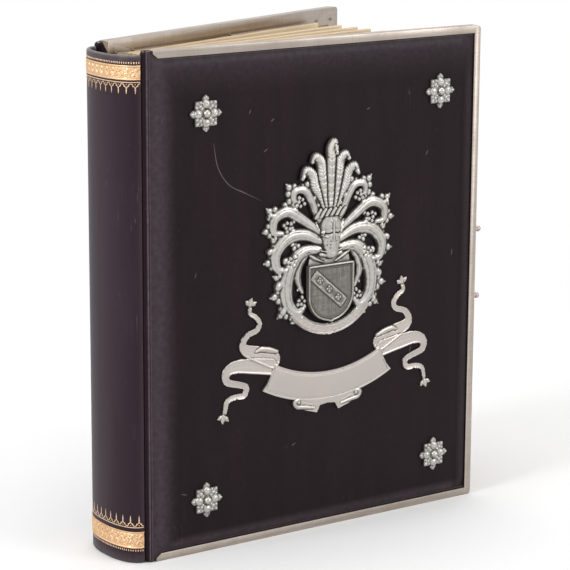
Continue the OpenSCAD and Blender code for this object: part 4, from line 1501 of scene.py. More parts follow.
@dataclass(frozen=True)
class SpineCurve:
    """The rounded back, measured along its surface from the front joint to the rear joint."""

    axis: Point
    half: float
    end: float = 4.1
    bulge: float = 15.0
    middle: float = 33.95
    reach: float = 30.95
    power: float = 2.2

    def outline(self) -> tuple[np.ndarray, np.ndarray]:
        """Gives points along the back, in millimetres from the album's corner, and their distances."""
        a = np.radians(np.linspace(-90, 90, 1441))
        x = -self.end - self.bulge * np.abs(np.cos(a)) ** (2 / self.power)
        y = self.middle + self.reach * np.sign(np.sin(a)) * np.abs(np.sin(a)) ** (2 / self.power)
        steps = np.hypot(np.diff(x), np.diff(y))
        return np.stack([x, y], axis=-1), np.concatenate([[0], np.cumsum(steps)])

    def length(self) -> float:
        """Gives the length of the back round its curve."""
        return float(self.outline()[1][-1])

    def split(self, deep: float = 7.5) -> float:
        """Gives the distance along the back at which the flexing leather of the front joint ends."""
        line, far = self.outline()
        half = len(far) // 2
        return float(np.interp(deep, -self.end - line[:half, 0], far[:half]))

    def at(self, u: np.ndarray, z: np.ndarray, v: np.ndarray) -> np.ndarray:
        """Turns places on the back into points of the album.

        Args:
            u: Distances along the back.
            z: Heights above the tail.
            v: Distances outwards.

        Returns:
            An array of points in metres, one row each.
        """
        line, far = self.outline()
        u, z, v = (np.asarray(a, float).ravel() for a in np.broadcast_arrays(u, z, v))

        def shifted(by: float) -> np.ndarray:
            """Gives the points of the back that lie a little farther along."""
            return np.stack([np.interp(u + by, far, line[:, k]) for k in (0, 1)], axis=-1)

        spot = shifted(0.0)
        ahead = shifted(0.25) - shifted(-0.25)
        ahead /= np.maximum(np.hypot(ahead[:, 0], ahead[:, 1]), TINY)[:, None]
        x = self.axis[0] + (spot[:, 0] - ahead[:, 1] * v) * MM
        y = self.axis[1] + (spot[:, 1] - self.half + ahead[:, 0] * v) * MM
        return np.stack([x, y, z * MM], axis=-1)


@dataclass
class SpineDress:
    """The leather of the back, the joints that let the covers turn and the gilt bands at head and tail."""

    plan: Plan
    curve: SpineCurve
    top: float = 357.0
    skin: float = 1.4
    repeats: int = 12

    def build(self, finishes: Finishes, beading: Beading) -> list[Object]:
        """Makes every piece of the back."""
        split, far = self.curve.split(), self.curve.length()
        stops = np.concatenate([np.linspace(split, far - 6, 56), np.linspace(far - 6, far, 10)[1:]])
        back = self._skin("spine_skin", stops, finishes)
        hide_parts("spine_leather")
        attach(back, "spine")
        end = self._skin("front_joint_skin", np.linspace(0, split, 24), finishes)
        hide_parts("front_joint_leather")
        self._bend(end)
        pieces = [back, end] + [self._joint(finishes, side) for side in ("front", "rear")]
        ornament = [
            self._band(finishes, "head_band", 340.4, 350.4),
            self._band(finishes, "tail_band", 11.0, 23.2),
            self._fringe(finishes, "head_fringe", 339.0, -1, 7.7),
            self._fringe(finishes, "tail_fringe", 26.3, 1, 8.4),
        ]
        ornament += self._pearls(finishes, beading)
        for piece in ornament:
            self._bend(piece)
        dress_node("spine_liner", finishes.board)
        return pieces + ornament

    def _bend(self, piece: Object) -> None:
        """Bakes a piece's placement into its mesh."""
        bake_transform(piece)

    def _skin(self, name: str, stops: np.ndarray, finishes: Finishes) -> Object:
        """Sweeps part of the skin round the back, with a rolled cap at the head and a turned foot.

        Args:
            name: Name of the piece.
            stops: Distances along the back of its sections.
            finishes: The scene's finishes.

        Returns:
            The piece, which is thinner towards the front joint.
        """
        t, top = self.skin, self.top
        head = [
            (0, top - 1.6), (-0.35, top - 0.6), (-1.1, top - 0.05), (-1.9, top - 0.1), (-2.6, top - 0.8),
            (-2.9, top - 2.2), (-2.7, top - 4.5), (-t, top - 8),
        ]
        tail = [(-t, 7), (-2.5, 3.5), (-2.6, 1.4), (-2.1, 0.4), (-1.2, 0), (-0.4, 0.3), (0, 1.2)]
        side = [(0, z) for z in np.linspace(8, top - 9, 24)]
        back = [(-t, z) for z in np.linspace(top - 20, 20, 6)]
        v, z = np.array(side + head + back + tail).T
        # Paler at the foot and the cap from rubbing, with a painted highlight along the head's rim; edge pales
        # the ends by the joints.
        rub_and_painted_highlight = np.interp(z, [0, 0.8, 2.2, top - 2.2, top - 0.9, top], [0.7, 0.4, 0, 0, 0.7, 1])
        thin = np.interp(stops, [0, self.curve.split()], [0.6, 1.0])
        loops = np.stack([self.curve.at(np.full(len(z), s), z, v * k) for s, k in zip(stops, thin)])
        edge = 0.12 * bump_at(0, 2.0, np.minimum(stops, self.curve.length() - stops))
        wear_and_painted_highlight = np.maximum(np.tile(rub_and_painted_highlight, len(stops)), np.repeat(edge, len(z)))
        piece = make_piece(name, *sweep(loops), [finishes.painted_sheen_spine], cavity=wear_and_painted_highlight, crease=60)
        return piece

    def _joint(self, finishes: Finishes, side: str) -> Object:
        """Makes the strip that wraps round a cover's edge."""
        place = self.plan.front if side == "front" else self.plan.rear
        way = -1.0 if side == "front" else 1.0
        turn = np.radians(np.linspace(172, 216, 25))
        radius = self.plan.half + 0.2
        x = np.concatenate([[-7.2, -6.0, -5.0], radius * np.cos(turn)])
        y = np.concatenate([[0.72, 0.7, 0.66], -radius * np.sin(turn)])
        section = np.stack([x, y], axis=-1)
        inside = section + 0.55 * directions(section)[1]
        ring = np.concatenate([section, inside[::-1]])
        px = place.origin[0] + ring[:, 0] * MM
        py = place.origin[1] - way * ring[:, 1] * MM
        levels = np.linspace(0.5, self.top - 0.5, 12)
        loops = np.stack([np.stack([px, py, np.full(len(px), z * MM)], axis=-1) for z in levels])
        piece = make_piece(side + "_joint_strip", *sweep(loops), [finishes.leather], crease=60)
        if side == "rear":
            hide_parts("rear_joint_leather")
        self._bend(piece)
        return piece

    def _places(self) -> tuple[float, list[float]]:
        """Gives the length of one repeat of the ornament, and the middle of each."""
        step = (self.curve.length() - 2) / self.repeats
        return step, [1 + step * (k + 0.5) for k in range(self.repeats)]

    def _band(self, finishes: Finishes, name: str, low: float, high: float) -> Object:
        """Raises a gilt band of slanting leaves between two pearled borders."""
        far = self.curve.length()
        band = Relief(0.4, low - 1, far - 0.4, high + 1, 0.21)
        band.polygon([(0.6, low), (far - 0.6, low), (far - 0.6, high), (0.6, high)], 0.3)
        for z in (low + 0.6, high - 0.6):
            band.stroke([(0.9, z), (far - 0.9, z)], 1.1, 0.35, base=0.25, section=Section.FLAT)
        for z in (low + 1.9, high - 1.9):
            band.stroke([(0.9, z), (far - 0.9, z)], 0.6, 0.25, base=0.25, moat=0.3)
        tall = (high - low) / 2 - 2.3
        middle = (low + high) / 2
        blade = [(-2.5, 0.55), (-1.5, 0.98), (-0.3, 0.55), (0.5, -0.3), (2.2, -0.95)]
        curl = [(-0.2, -0.15), (-1.5, -0.3), (-2.2, -0.8), (-1.0, -0.98), (-0.5, -0.6)]
        spray = [(0.4, 0.15), (1.3, 0.5), (2.0, 0.3)]
        strokes = (
            (blade, 6, [0.6, 1.3, 2.0, 1.7, 0.6], 0.4, 0.3),
            (curl, 5, [1.1, 0.9, 0.8, 0.7, 0.9], 0.32, 0.25),
            (spray, 5, [0.5, 0.9, 0.4], 0.3, 0.25),
        )
        for s in self._places()[1]:
            for shape, steps, widths, rise, moat in strokes:
                line = curve([(s + x, middle + tall * y) for x, y in shape], steps)
                band.stroke(line, widths, rise, base=0.25, moat=moat)
            band.boss((s + 1.6, middle + tall * 0.86), 0.9, 0.3, base=0.25, moat=0.2)
        return band.build(name, self.curve, -0.05, finishes.gilt, deep=0.17)

    def _fringe(self, finishes: Finishes, name: str, line: float, way: int, reach: float) -> Object:
        """Tools the row of arches and hanging buds beside a band."""
        far = self.curve.length()
        step, places = self._places()
        low, high = sorted((line, line + way * 12))
        fringe = Relief(0.4, low - 1, far - 0.4, high + 1, 0.15)
        fringe.stroke([(0.9, line), (far - 0.9, line)], 0.6, 0.16, section=Section.FLAT)
        swag = ([(1.5, 2.6), (2.0, 1.4), (step * 0.5, 1.0)], [0.5, 0.6, 0.5])
        arm = ([(0, 4.4), (0.5, 3.2), (1.4, 2.5)], [0.6, 0.5, 0.5])
        for s in places:
            for side in (-1, 1):
                for shape, widths in (swag, arm):
                    path = curve([(s + side * x, line + way * y) for x, y in shape], 5)
                    fringe.stroke(path, widths, 0.16, moat=0)
                fringe.boss((s + side * 1.5, line + way * 2.5), 1.0, 0.17, moat=0)
            fringe.boss((s, line + way * 1.5), 0.7, 0.16, moat=0)
            fringe.stroke([(s, line + way * y) for y in (4.0, 5.4, reach)], [0.5, 0.95, 0.25], 0.17, moat=0)
        return fringe.build(name, self.curve, -0.03, finishes.tooling, soften=0, deep=1.0)

    def _pearls(self, finishes: Finishes, beading: Beading) -> list[Object]:
        """Sets the rows of gilt dashes outside each band."""
        s = np.arange(1.4, self.curve.length() - 1, 1.75)
        pieces = []
        for name, z in (("head_pearls", 352.0), ("tail_pearls", 9.4)):
            points = self.curve.at(s, z, 0.0)
            out = (self.curve.at(s, z, 1.0) - points) / MM
            along = np.broadcast_to([0.0, 0.0, 1.0], points.shape)
            piece = beading.scatter(name, points, out, finishes.tooling, 0.45, 0.2, along=along, length=0.75)
            pieces.append(piece)
        return pieces


# Leaves

def inside_box(u: np.ndarray, z: np.ndarray, box: Box) -> np.ndarray:
    """Gives the distance inside a box of left, low, right and top."""
    return np.minimum(np.minimum(u - box[0], box[2] - u), np.minimum(z - box[1], box[3] - z))


class LeafPart(IntEnum):
    """Numbers of a leaf's finishes."""

    CARD = 0
    GILT = 1
    MOUNT = 2
    EDGE = 3


@dataclass
class LeafBlock:
    """The card leaves with their picture windows, and the sewn back that carries them."""

    plan: Plan
    linen: float = 12.0
    width: float = 243.0
    low: float = 9.0
    high: float = 351.0
    thick: float = 3.7
    rounding: Point = (0.35, 0.8)
    gilt_line: Point = (5.0, 5.7)
    window_line: Point = (1.6, 2.2)
    bevel: float = 0.6
    depth: float = 0.5
    bar: float = 26.0
    small: Point = (62.0, 96.0)
    large: Point = (146.0, 104.0)
    cord_x: float = -2.6
    cord_from: float = 8.65
    cord_to: float = 59.25
    cord_radius: float = 1.75

    def windows(self, number: int) -> list[Box]:
        """Lists the windows of a leaf as left, low, right and top."""
        pair = number % 2 == 0
        wide, tall = self.small if pair else self.large
        out = []
        for c in (-0.5, 0.5) if pair else (0.0,):
            for r in (-0.5, 0.5):
                u = (self.linen + self.width) / 2 + c * (wide + self.bar)
                z = self.plan.height / 2 + r * (tall + self.bar)
                out.append((u - wide / 2, z - tall / 2, u + wide / 2, z + tall / 2))
        return out

    def _lines(self, number: int, axis: int) -> np.ndarray:
        """Lists the grid lines of a face: its edges, its gilt lines and its windows with their bevels."""
        first, last = ((self.linen, self.width), (self.low, self.high))[axis]
        stops = {first, last}
        for inset in self.rounding + self.gilt_line:
            stops |= {first + inset, last - inset}
        for w in self.windows(number):
            a, b = w[axis], w[axis + 2]
            for off in (-self.bevel, 0.0) + self.window_line:
                stops |= {a - off, b + off}
        return np.array(sorted(stops))

    def _face(self, number: int, us: np.ndarray, zs: np.ndarray) -> tuple[np.ndarray, np.ndarray]:
        """Gives the height of each grid point and the finish of each grid cell.

        Args:
            number: Number of the leaf from 0.
            us: Grid lines along the leaf.
            zs: Grid lines up the leaf.

        Returns:
            Heights from the middle of the card, and the LeafPart of each cell.
        """
        card = (self.linen, self.low, self.width, self.high)
        u, z = np.meshgrid(us, zs)
        v = self.thick / 2 - np.interp(inside_box(u, z, card), (0,) + self.rounding, [0.45, 0.12, 0])
        cu, cz = np.meshgrid((us[:-1] + us[1:]) / 2, (zs[:-1] + zs[1:]) / 2)
        finish = np.full(cu.shape, LeafPart.CARD)

        def gild(distance: np.ndarray, first: float, last: float) -> None:
            """Gilds the cells between two distances."""
            finish[(distance > first) & (distance < last)] = LeafPart.GILT

        gild(inside_box(cu, cz, card), *self.gilt_line)
        for window in self.windows(number):
            inside = inside_box(u, z, window)
            v -= np.interp(inside, [0, self.bevel], [0, self.depth]) * (inside > -0.01)
            cell = inside_box(cu, cz, window)
            gild(cell, 0, self.bevel)
            gild(-cell, *self.window_line)
            finish[cell > self.bevel] = LeafPart.MOUNT
        return v, finish

    def _leaf(self, number: int, place: Place, finishes: Finishes) -> Object:
        """Makes one leaf as a closed mesh."""
        us, zs = self._lines(number, 0), self._lines(number, 1)
        v, finish = self._face(number, us, zs)
        u, z = np.meshgrid(us, zs)
        faces_of = [place.at(u, z, way * v).reshape(len(zs), len(us), 3) for way in (1, -1)]
        points, faces = shell(*faces_of)
        rim = np.full(len(faces) - 2 * finish.size, LeafPart.EDGE)
        kinds = np.concatenate([finish.ravel(), finish.ravel(), rim])
        uv = np.concatenate([np.stack([u.ravel(), way * v.ravel()], -1) for way in (1, -1)])
        name = "leaf_%02d" % (number + 1)
        materials = [finishes.card, finishes.tooling, finishes.mount, finishes.edge]
        piece = make_piece(name + "_card", points, faces, materials, uv=uv, face_finish=kinds, crease=30)
        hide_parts(name)
        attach(piece, name)
        return piece

    def _endbands(self, finishes: Finishes, beading: Beading) -> list[Object]:
        """Winds coloured silk round the cords at head and tail."""
        axis = self.plan.front.origin
        radius = self.cord_radius
        pieces = []
        steps = np.arange(self.cord_from, self.cord_to, 0.62)
        foot = axis[1] - self.plan.half * MM
        for k, (shade_of, finish) in enumerate((("pale", finishes.thread), ("dark", finishes.red_thread))):
            ring = []
            outs = []
            chosen = [y for i, y in enumerate(steps) if (i // 3) % 2 == k]
            for z, way in ((self.high, 1), (self.low, -1)):
                for y in chosen:
                    for a in np.radians([20, 60, 100, 140]):
                        dx, dz = math.cos(a), way * math.sin(a)
                        x = axis[0] + (self.cord_x + radius * dx) * MM
                        ring.append([x, foot + y * MM, (z + radius * dz) * MM])
                        outs.append([dx, 0, dz])
            out = np.array(outs)
            along = np.stack([-out[:, 2], np.zeros(len(out)), out[:, 0]], axis=-1)
            name = shade_of + "_endband_silk"
            piece = beading.scatter(name, np.array(ring), out, finish, 0.33, 0.3, along=along, length=0.75)
            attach(piece, "spine")
            pieces.append(piece)
        return pieces

    def build(self, finishes: Finishes, beading: Beading) -> list[Object]:
        """Makes the leaves and dresses the sewn back."""
        pieces = [self._leaf(k, place, finishes) for k, place in enumerate(self.plan.leaves)]
        hinges = ["leaf_hinge_%02d" % (k + 1) for k in range(len(pieces))]
        for name in hinges + ["guards", "sewing_tapes", "back_cloth"]:
            dress_node(name, finishes.linen)
        dress_node("endbands", finishes.thread)
        return pieces + self._endbands(finishes, beading)


# Fittings

@dataclass
class Rosettes:
    """The four cast rosettes on the front cover with their ball studs, and the feet on the rear cover."""

    plan: Plan
    us: Point = (44.5, 247.3)
    zs: Point = (38.7, 314.5)
    radius: float = 12.4
    ball: float = 2.9
    top: float = 5.4

    def _form(self, centre: Point) -> Relief:
        """Draws one rosette: four domed petals with points, and four beaded fans between them."""
        cu, cz = centre
        r = self.radius
        form = Relief(cu - r - 0.5, cz - r - 0.5, cu + r + 0.5, cz + r + 0.5, 0.18)

        def ray(angle: float, distance: float, aside: float = 0.0) -> Point:
            """Gives a point at an angle and distance from the middle."""
            x, z = math.cos(angle), math.sin(angle)
            return (cu + distance * x - aside * z, cz + distance * z + aside * x)

        half = 8.6
        form.polygon([(cu + x * half, cz + z * half) for x, z in ((-1, -1), (1, -1), (1, 1), (-1, 1))], 1.9)
        for a in np.radians(np.arange(45, 405, 90)):
            for turn in np.radians((-31, -17, 0, 17, 31)):
                reach = (half - 1.3) / max(abs(math.cos(a + turn)), abs(math.sin(a + turn)))
                rib = [ray(a + turn * 0.7, 4.4), ray(a + turn, reach - 1)]
                form.stroke(rib, [1.8, 2.9], 0.6, base=1.75, moat=0.08)
                form.boss(ray(a + turn, reach), 2.5, 0.9, base=1.8, moat=0.1)
            form.boss(ray(a, 6.9), 2.9, 0.9, base=1.9, moat=0.2)
            form.boss(ray(a, 4.7), 1.9, 0.7, base=1.8, moat=0.15)
        for a in np.radians(np.arange(0, 360, 90)):
            tip = [ray(a, distance) for distance in (7.4, 9.6, 11.2, r)]
            form.stroke(tip, [6.6, 5.4, 3.0, 0.9], 1.3, base=0.9, moat=0.2)
            for side in (-1, 1):
                form.carve([ray(a, 9.0, side * 0.5), ray(a, 11.0, side * 0.9)], 0.6, 0.35)
            form.boss(ray(a, 6.5), 6.4, 2.0, base=1.7, moat=0.25)
            form.carve([ray(a, 7.0, 0.4)], 1.6, 0.5)
        form.boss(centre, 6.3, 0.3, base=1.4, moat=0.5)
        return form

    def build(self, finishes: Finishes) -> list[Object]:
        """Makes the rosettes, their studs and the rear feet."""
        plan = self.plan
        pieces = []
        for end, z in zip(("tail", "head"), self.zs):
            for edge, u in zip(("spine", "fore"), self.us):
                name = "%s_%s_rosette" % (end, edge)
                piece = self._form((u, z)).build(name, plan.front, plan.pad, finishes.cast, deep=1.5)
                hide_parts("rosette_%s_%s" % (end, edge))
                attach(piece, "front_cover")
                pieces.append(piece)
        middle = (0.0, self.top - self.ball)
        stud = [(1.15, -3.0), (1.15, 1.72), (2.6, 1.72)]
        stud += [polar(middle, angle, self.ball) for angle in np.linspace(-14, 88, 12)]
        studs = self._turned("ball_studs", stud, plan.front, finishes, 28)
        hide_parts("rosette_studs")
        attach(studs, "front_cover")
        foot = [
            (8.0, 0.0), (8.0, 0.6), (7.6, 1.1), (6.8, 1.25), (6.4, 1.5), (6.5, 2.0), (6.1, 2.6), (5.5, 2.9),
            (5.3, 3.6), (5.2, 4.6), (5.1, 5.3), (5.0, 5.9), (4.6, 6.3), (4.0, 6.5), (1.0, 6.5),
        ]
        feet = self._turned("turned_feet", foot, plan.rear, finishes, 40)
        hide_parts("rear_bosses")
        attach(feet, "rear_cover")
        pieces += [studs, feet]
        return pieces

    def _turned(
        self, name: str, profile: Sequence[Point], place: Place, finishes: Finishes, sides: int
    ) -> Object:
        """Turns a fitting at the four corners of a cover."""
        feet = [place.at(u, z, self.plan.pad)[0] for u in self.us for z in self.zs]
        return lathe(name, profile, feet, place.vector(0, 0, 1), finishes.cast, sides)


@dataclass
class Clasp:
    """The two pins on the front fore-edge and the hinged plate that drops over them."""

    plan: Plan
    axis_u: float = 287.0
    axis_v: float = 5.35
    eye_u: float = 221.25
    half: float = 32.65
    thick: float = 1.2

    def build(self, finishes: Finishes) -> list[Object]:
        """Makes the pins and dresses the plate and its hinge."""
        plan = self.plan
        profile = [
            (1.4, -1.5), (1.45, 0.0), (2.2, 0.0), (2.2, 0.25),
            (1.95, 0.5), (1.45, 0.6), (1.35, 1.6), (1.4, 2.6),
        ]
        profile += [polar((0.0, 4.6), angle, 2.3) for angle in np.linspace(-50, 88, 14)]
        feet = [plan.front.at(plan.width, plan.pin_z + side * plan.pin_pitch / 2, 0)[0] for side in (-1, 1)]
        pins = lathe("ball_pins", profile, feet, plan.front.vector(1, 0, 0), finishes.frame_metal, 28)
        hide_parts("clasp_pins")
        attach(pins, "front_cover")
        plate = dressed_copy("clasp_plate_dressed", "clasp_plate", finishes.frame_metal, 0.18)
        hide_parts("clasp_plate")
        chased = self._chasing(finishes)
        bracket = dressed_copy("clasp_bracket_dressed", "clasp_bracket", finishes.frame_metal, 0.12)
        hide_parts("clasp_bracket")
        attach(bracket, "rear_cover")
        for piece in (plate, chased):
            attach(piece, "clasp")
        dress_node("clasp_hinge_pin", finishes.nails)
        return [pins, plate, chased, bracket]

    def _chasing(self, finishes: Finishes) -> Object:
        """Chases a border and a running scroll on the plate's outer face."""
        left, right = self.eye_u - 5.2, self.axis_u - 4.2
        low, high = self.plan.pin_z - self.half + 1.6, self.plan.pin_z + self.half - 1.6
        form = Relief(left - 1, low - 1, right + 1, high + 1, 0.3)
        inner = self.eye_u + 4.0
        for a, b in (((inner, low), (right, low)), ((inner, high), (right, high)),
                     ((right, low), (right, high)), ((inner, low), (inner, high))):
            form.stroke([a, b], 0.9, 0.35)
        mid_u, mid_z = (inner + right) / 2, (low + high) / 2
        shape = ((0, 2), (8, 7), (17, 19), (24, 21), (22, 13), (17, 14))
        for sx in (-1, 1):
            for sz in (-1, 1):
                stem = curve([(mid_u + sx * x, mid_z + sz * z) for x, z in shape], 8)
                form.stroke(stem, [1.0, 1.5, 1.3, 1.0, 0.8, 1.4], 0.42)
                for share, reach in ((0.35, 6.0), (0.55, 7.0), (0.75, 5.0)):
                    u, z = stem[int(len(stem) * share)]
                    bend = (u - sx * reach * 0.2, z + sz * reach * 0.6)
                    leaf = curve([(u, z), bend, (u + sx * reach * 0.3, z + sz * reach)], 5)
                    form.stroke(leaf, [0.8, 1.3, 0.3], 0.4)
        middle = (mid_u, mid_z)
        for angle in range(0, 360, 45):
            form.stroke([polar(middle, angle, 1.4), polar(middle, angle, 4.6)], [0.8, 2.2, 0.5], 0.45)
        form.boss(middle, 2.4, 0.5)
        face = self.axis_v + self.thick / 2 - 0.05
        return form.build("clasp_chasing", self.plan.rear, face, finishes.cast, deep=0.3)


# Emblem and banner

@dataclass
class Emblem:
    """The cast emblem on the front cover: scrolling leaves, a shield, a closed helm and five plumes."""

    plan: Plan
    lift: float = 2.0
    motto_r: float = 39.5
    motto_w: float = 8.5
    quills: tuple = (3.4, 6.6, 8.4, 8.6, 7.2, 3.4)

    def _field(self, left: float, low: float, right: float, top: float, pitch: float) -> Relief:
        """Clears a field that is measured from the foot of the shield."""
        return Relief(left, low, right, top, pitch, (self.plan.emblem_u, self.plan.shield_z))

    def _trefoil(self, form: Relief, root: Point, angle: float, size: float, base: float) -> None:
        """Ends a scroll in a leaf of three lobes with a pointed tip."""
        spear = [root, polar(root, angle, size * 1.2), polar(root, angle, size * 2.0)]
        form.stroke(spear, [size * 0.9, size * 1.3, size * 0.4], 1.3, base)
        for turn, reach in ((72, 0.95), (-72, 0.95), (0, 1.15)):
            lobe = polar(root, angle + turn, size * reach)
            form.boss(lobe, size * 1.4, 1.9, base, moat=0.45)
            form.carve([lobe], size * 0.4, 0.5)

    def _berries(self, form: Relief, at: Point, angle: float, size: float, base: float) -> None:
        """Sets a small cluster of berries at the end of a stem."""
        for turn, reach in ((0, 1.3), (55, 0.9), (-55, 0.9), (115, 0.9), (-115, 0.9), (180, 0.2)):
            form.boss(polar(at, angle + turn, size * reach), size, size * 0.75, base, moat=0.7)

    def _scroll(
        self,
        form: Relief,
        controls: Sequence[Point],
        widths: Sequence[float],
        rise: float,
        base: float,
        lobes: int,
        way: int,
    ) -> None:
        """Draws a fluted stem whose outer side breaks into rounded leaf lobes.

        Args:
            form: Relief to draw in.
            controls: Points that the stem passes through.
            widths: Widths along it.
            rise: Height of the stem over its base.
            base: Height of its base.
            lobes: Number of lobes along its outer side.
            way: Side of the stem that the lobes are on, 1 for its left.
        """
        path = curve(controls, 10)
        ahead, left = directions(path)
        out = way * left
        halves = resampled(widths, len(path)) / 2
        for k in range(lobes):
            n = int((0.3 + 0.55 * k / max(lobes - 1, 1)) * (len(path) - 1))
            half = halves[n]
            lobe = [path[n] + out[n] * half * 0.3, path[n] + out[n] * half * 1.15 + ahead[n] * half * 0.9]
            form.stroke(lobe, [half * 0.8, half * 1.1], rise * 0.8, base, moat=0.45)
            form.carve(lobe, 0.5, 0.4)
        form.stroke(path, widths, rise, base, moat=0.7)
        for side in (-0.42, 0.42):
            form.carve(path[2:-2] + out[2:-2] * halves[2:-2, None] * side, 0.62, 0.7)

    def _mantling(self, finish: Material) -> Object:
        """Draws the leafy scrolls that fall from the helm on both sides of the shield."""
        form = self._field(-58, 2, 58, 106, 0.38)
        right = [(12, 7), (18, 22), (18, 44), (13, 66), (9, 82)]
        form.polygon([(-12, 7), (0, 2)] + right + mirrored(right[:0:-1], -1), 1.9)
        stems = [
            (
                [(6, 72), (12, 81), (16, 90), (22, 98), (30, 98), (31, 92), (27, 90)],
                [4.5, 6, 6.5, 6, 5, 3.5], 2.0, 2,
            ),
            ([(8, 66), (22, 76), (36, 84), (47, 80), (48, 71), (41, 69)], [5.5, 7.5, 8.5, 7.5, 6, 4], 2.3, 3),
            ([(8, 60), (22, 66), (36, 65), (46, 55), (45, 44), (37, 42)], [6.5, 9, 10, 9, 7, 4.5], 2.6, 3),
            (
                [(9, 54), (22, 54), (32, 46), (37, 33), (36, 18), (28, 10), (22, 14)],
                [6.5, 9, 11, 11.5, 10, 7.5, 4.5], 2.8, 4,
            ),
        ]
        tips = [
            (21, 98, 116, 3.8), (32, 98, 48, 3.8), (12, 88, 150, 3.2), (35, 87, 98, 3.8), (48, 83, 40, 3.8),
            (50.5, 72, -8, 3.6), (44, 62, 38, 4.0), (48, 49, -4, 4.0), (41, 36, 20, 3.8), (42.5, 24, -6, 4.0),
            (38, 12, -34, 3.8), (29, 6, -62, 3.6), (29, 60, -70, 3.0), (30, 80, -75, 3.0),
        ]
        hooks = [(26.5, 90, 200), (37.5, 73, 150), (33, 47.5, 120), (24.5, 16.5, 100)]
        for side in (-1, 1):
            for x, y, angle, size in tips:
                self._trefoil(form, (side * x, y), angle if side > 0 else 180 - angle, size, 0.8)
            for controls, widths, rise, lobes in stems:
                self._scroll(form, mirrored(controls, side), widths, rise, 1.4, lobes, side)
            inner = mirrored([(19, 51), (25, 44), (27, 34), (23, 24)], side)
            self._scroll(form, inner, [3, 5, 5.5, 3], 1.6, 1.0, 3, side)
            for x, y, angle in hooks:
                self._berries(form, (side * x, y), angle if side > 0 else 180 - angle, 3.3, 1.5)
            for y, lean in ((80, 30), (74, 42), (58, 70), (52, 84)):
                root, tip = (side * 5.0, y - 8), (side * (5 + lean * 0.17), y)
                blade = curve([root, ((root[0] + tip[0]) / 2 + side, (root[1] + tip[1]) / 2), tip], 6)
                form.stroke(blade, [1.4, 3.0, 0.8], 1.5, 1.6, section=Section.FLUTED)
        return form.build("leafy_mantling", self.plan.front, self.plan.pad, finish, deep=0.55)

    def _shield_line(self, grow: float) -> list[Point]:
        """Lists the corners of the shield's outline, moved outwards by grow."""
        half, top = 20 + grow, 43 + grow
        arc = [(half * math.cos(t), 21 - half * math.sin(t)) for t in np.radians(np.linspace(0, 82, 21))]
        return [(half, top)] + arc + [(0.0, -1.1 * grow)] + mirrored(arc[::-1], -1) + [(-half, top)]

    def _shield(self, finish: Material) -> Object:
        """Draws a hatched shield with a raised rim and a bend that carries three quatrefoils."""
        form = self._field(-21.5, -1.5, 21.5, 45.5, 0.27)
        form.polygon(self._shield_line(0), 3.1)
        for grow, width, rise, base, moat in ((-0.8, 1.6, 1.1, 2.9, 0.4), (-2.6, 0.5, 0.3, 3.0, 0.2)):
            line = self._shield_line(grow)
            form.stroke(line + line[:1], width, rise, base=base, moat=moat)
        for x in np.arange(-16.5, 16.6, 1.1):
            form.carve([(x, 21 - math.sqrt(16.8**2 - x**2)), (x, 39.5)], 0.45, 0.3)
        bend = np.array([(-15.6, 36.5), (-6, 28.0), (4, 19.5), (11.2, 13.2)])
        form.stroke(bend, 8.6, 0.75, base=3.0, section=Section.FLAT, capped=False, moat=0.3)
        run = bend[-1] - bend[0]
        across = np.array([-run[1], run[0]]) / np.hypot(*run)
        for side in (-1, 1):
            form.carve(bend[[0, -1]] + across * 3.5 * side, 0.5, 0.35)
        for share in (0.2, 0.5, 0.8):
            spot = tuple(bend[0] + run * share)
            for angle in (0, 90, 180, 270):
                form.boss(polar(spot, angle, 1.45), 2.5, 0.9, base=3.7)
            form.boss(spot, 1.5, 1.0, base=4.0)
        return form.build(
            "hatched_shield", self.plan.front, self.plan.pad + self.lift - 0.2, finish, soften=0, deep=0.35
        )

    def _helm(self, finish: Material) -> Object:
        """Draws a closed helm with a comb, a slit visor, breathing holes and a gorget."""
        form = self._field(-14, 44, 14, 78, 0.26)
        skull = [(0, 52.5), (0, 56), (0, 60), (0, 65), (0, 70), (0, 73.5)]
        form.stroke(skull, [13.5, 14.5, 16.5, 19.0, 19.4, 15.0], 6.1, 0.3, moat=0)
        form.stroke([(-8.5, 50.6), (0, 48.6), (8.5, 50.6)], [4.4, 5.0, 4.4], 3.4, 0.3, moat=0.6)
        form.stroke([(-8.8, 53.2), (0, 51.2), (8.8, 53.2)], [1.6, 1.8, 1.6], 3.6, 1.0)
        form.stroke([(0, 60), (0, 68), (0, 76.5)], [1.4, 2.0, 1.6], 1.2, 5.7, moat=0.4)
        for side in (-1, 1):
            slit, brow, lip = (
                curve(mirrored(line, side), 6)
                for line in (
                    [(1.4, 66.2), (4.6, 65.6), (8.3, 66.8)],
                    [(0.4, 69.5), (5.0, 68.8), (9.2, 70.4)],
                    [(0.8, 64.0), (5.0, 63.3), (8.6, 64.6)],
                )
            )
            form.carve(slit, 1.3, 1.8)
            form.carve(brow, 0.6, 0.5)
            form.stroke(lip, [0.9, 1.1, 0.8], 0.7, 5.0, moat=0.2)
            for x, y in ((2.6, 60.4), (4.8, 60.2), (2.8, 58.0), (4.9, 57.8), (3.0, 55.6)):
                form.carve([(side * x, y), (side * x, y - 1.0)], 0.75, 0.9)
            form.boss((side * 7.7, 66.5), 3.0, 1.4, base=3.4)
        return form.build("closed_helm", self.plan.front, self.plan.pad + self.lift - 0.3, finish, deep=0.6)

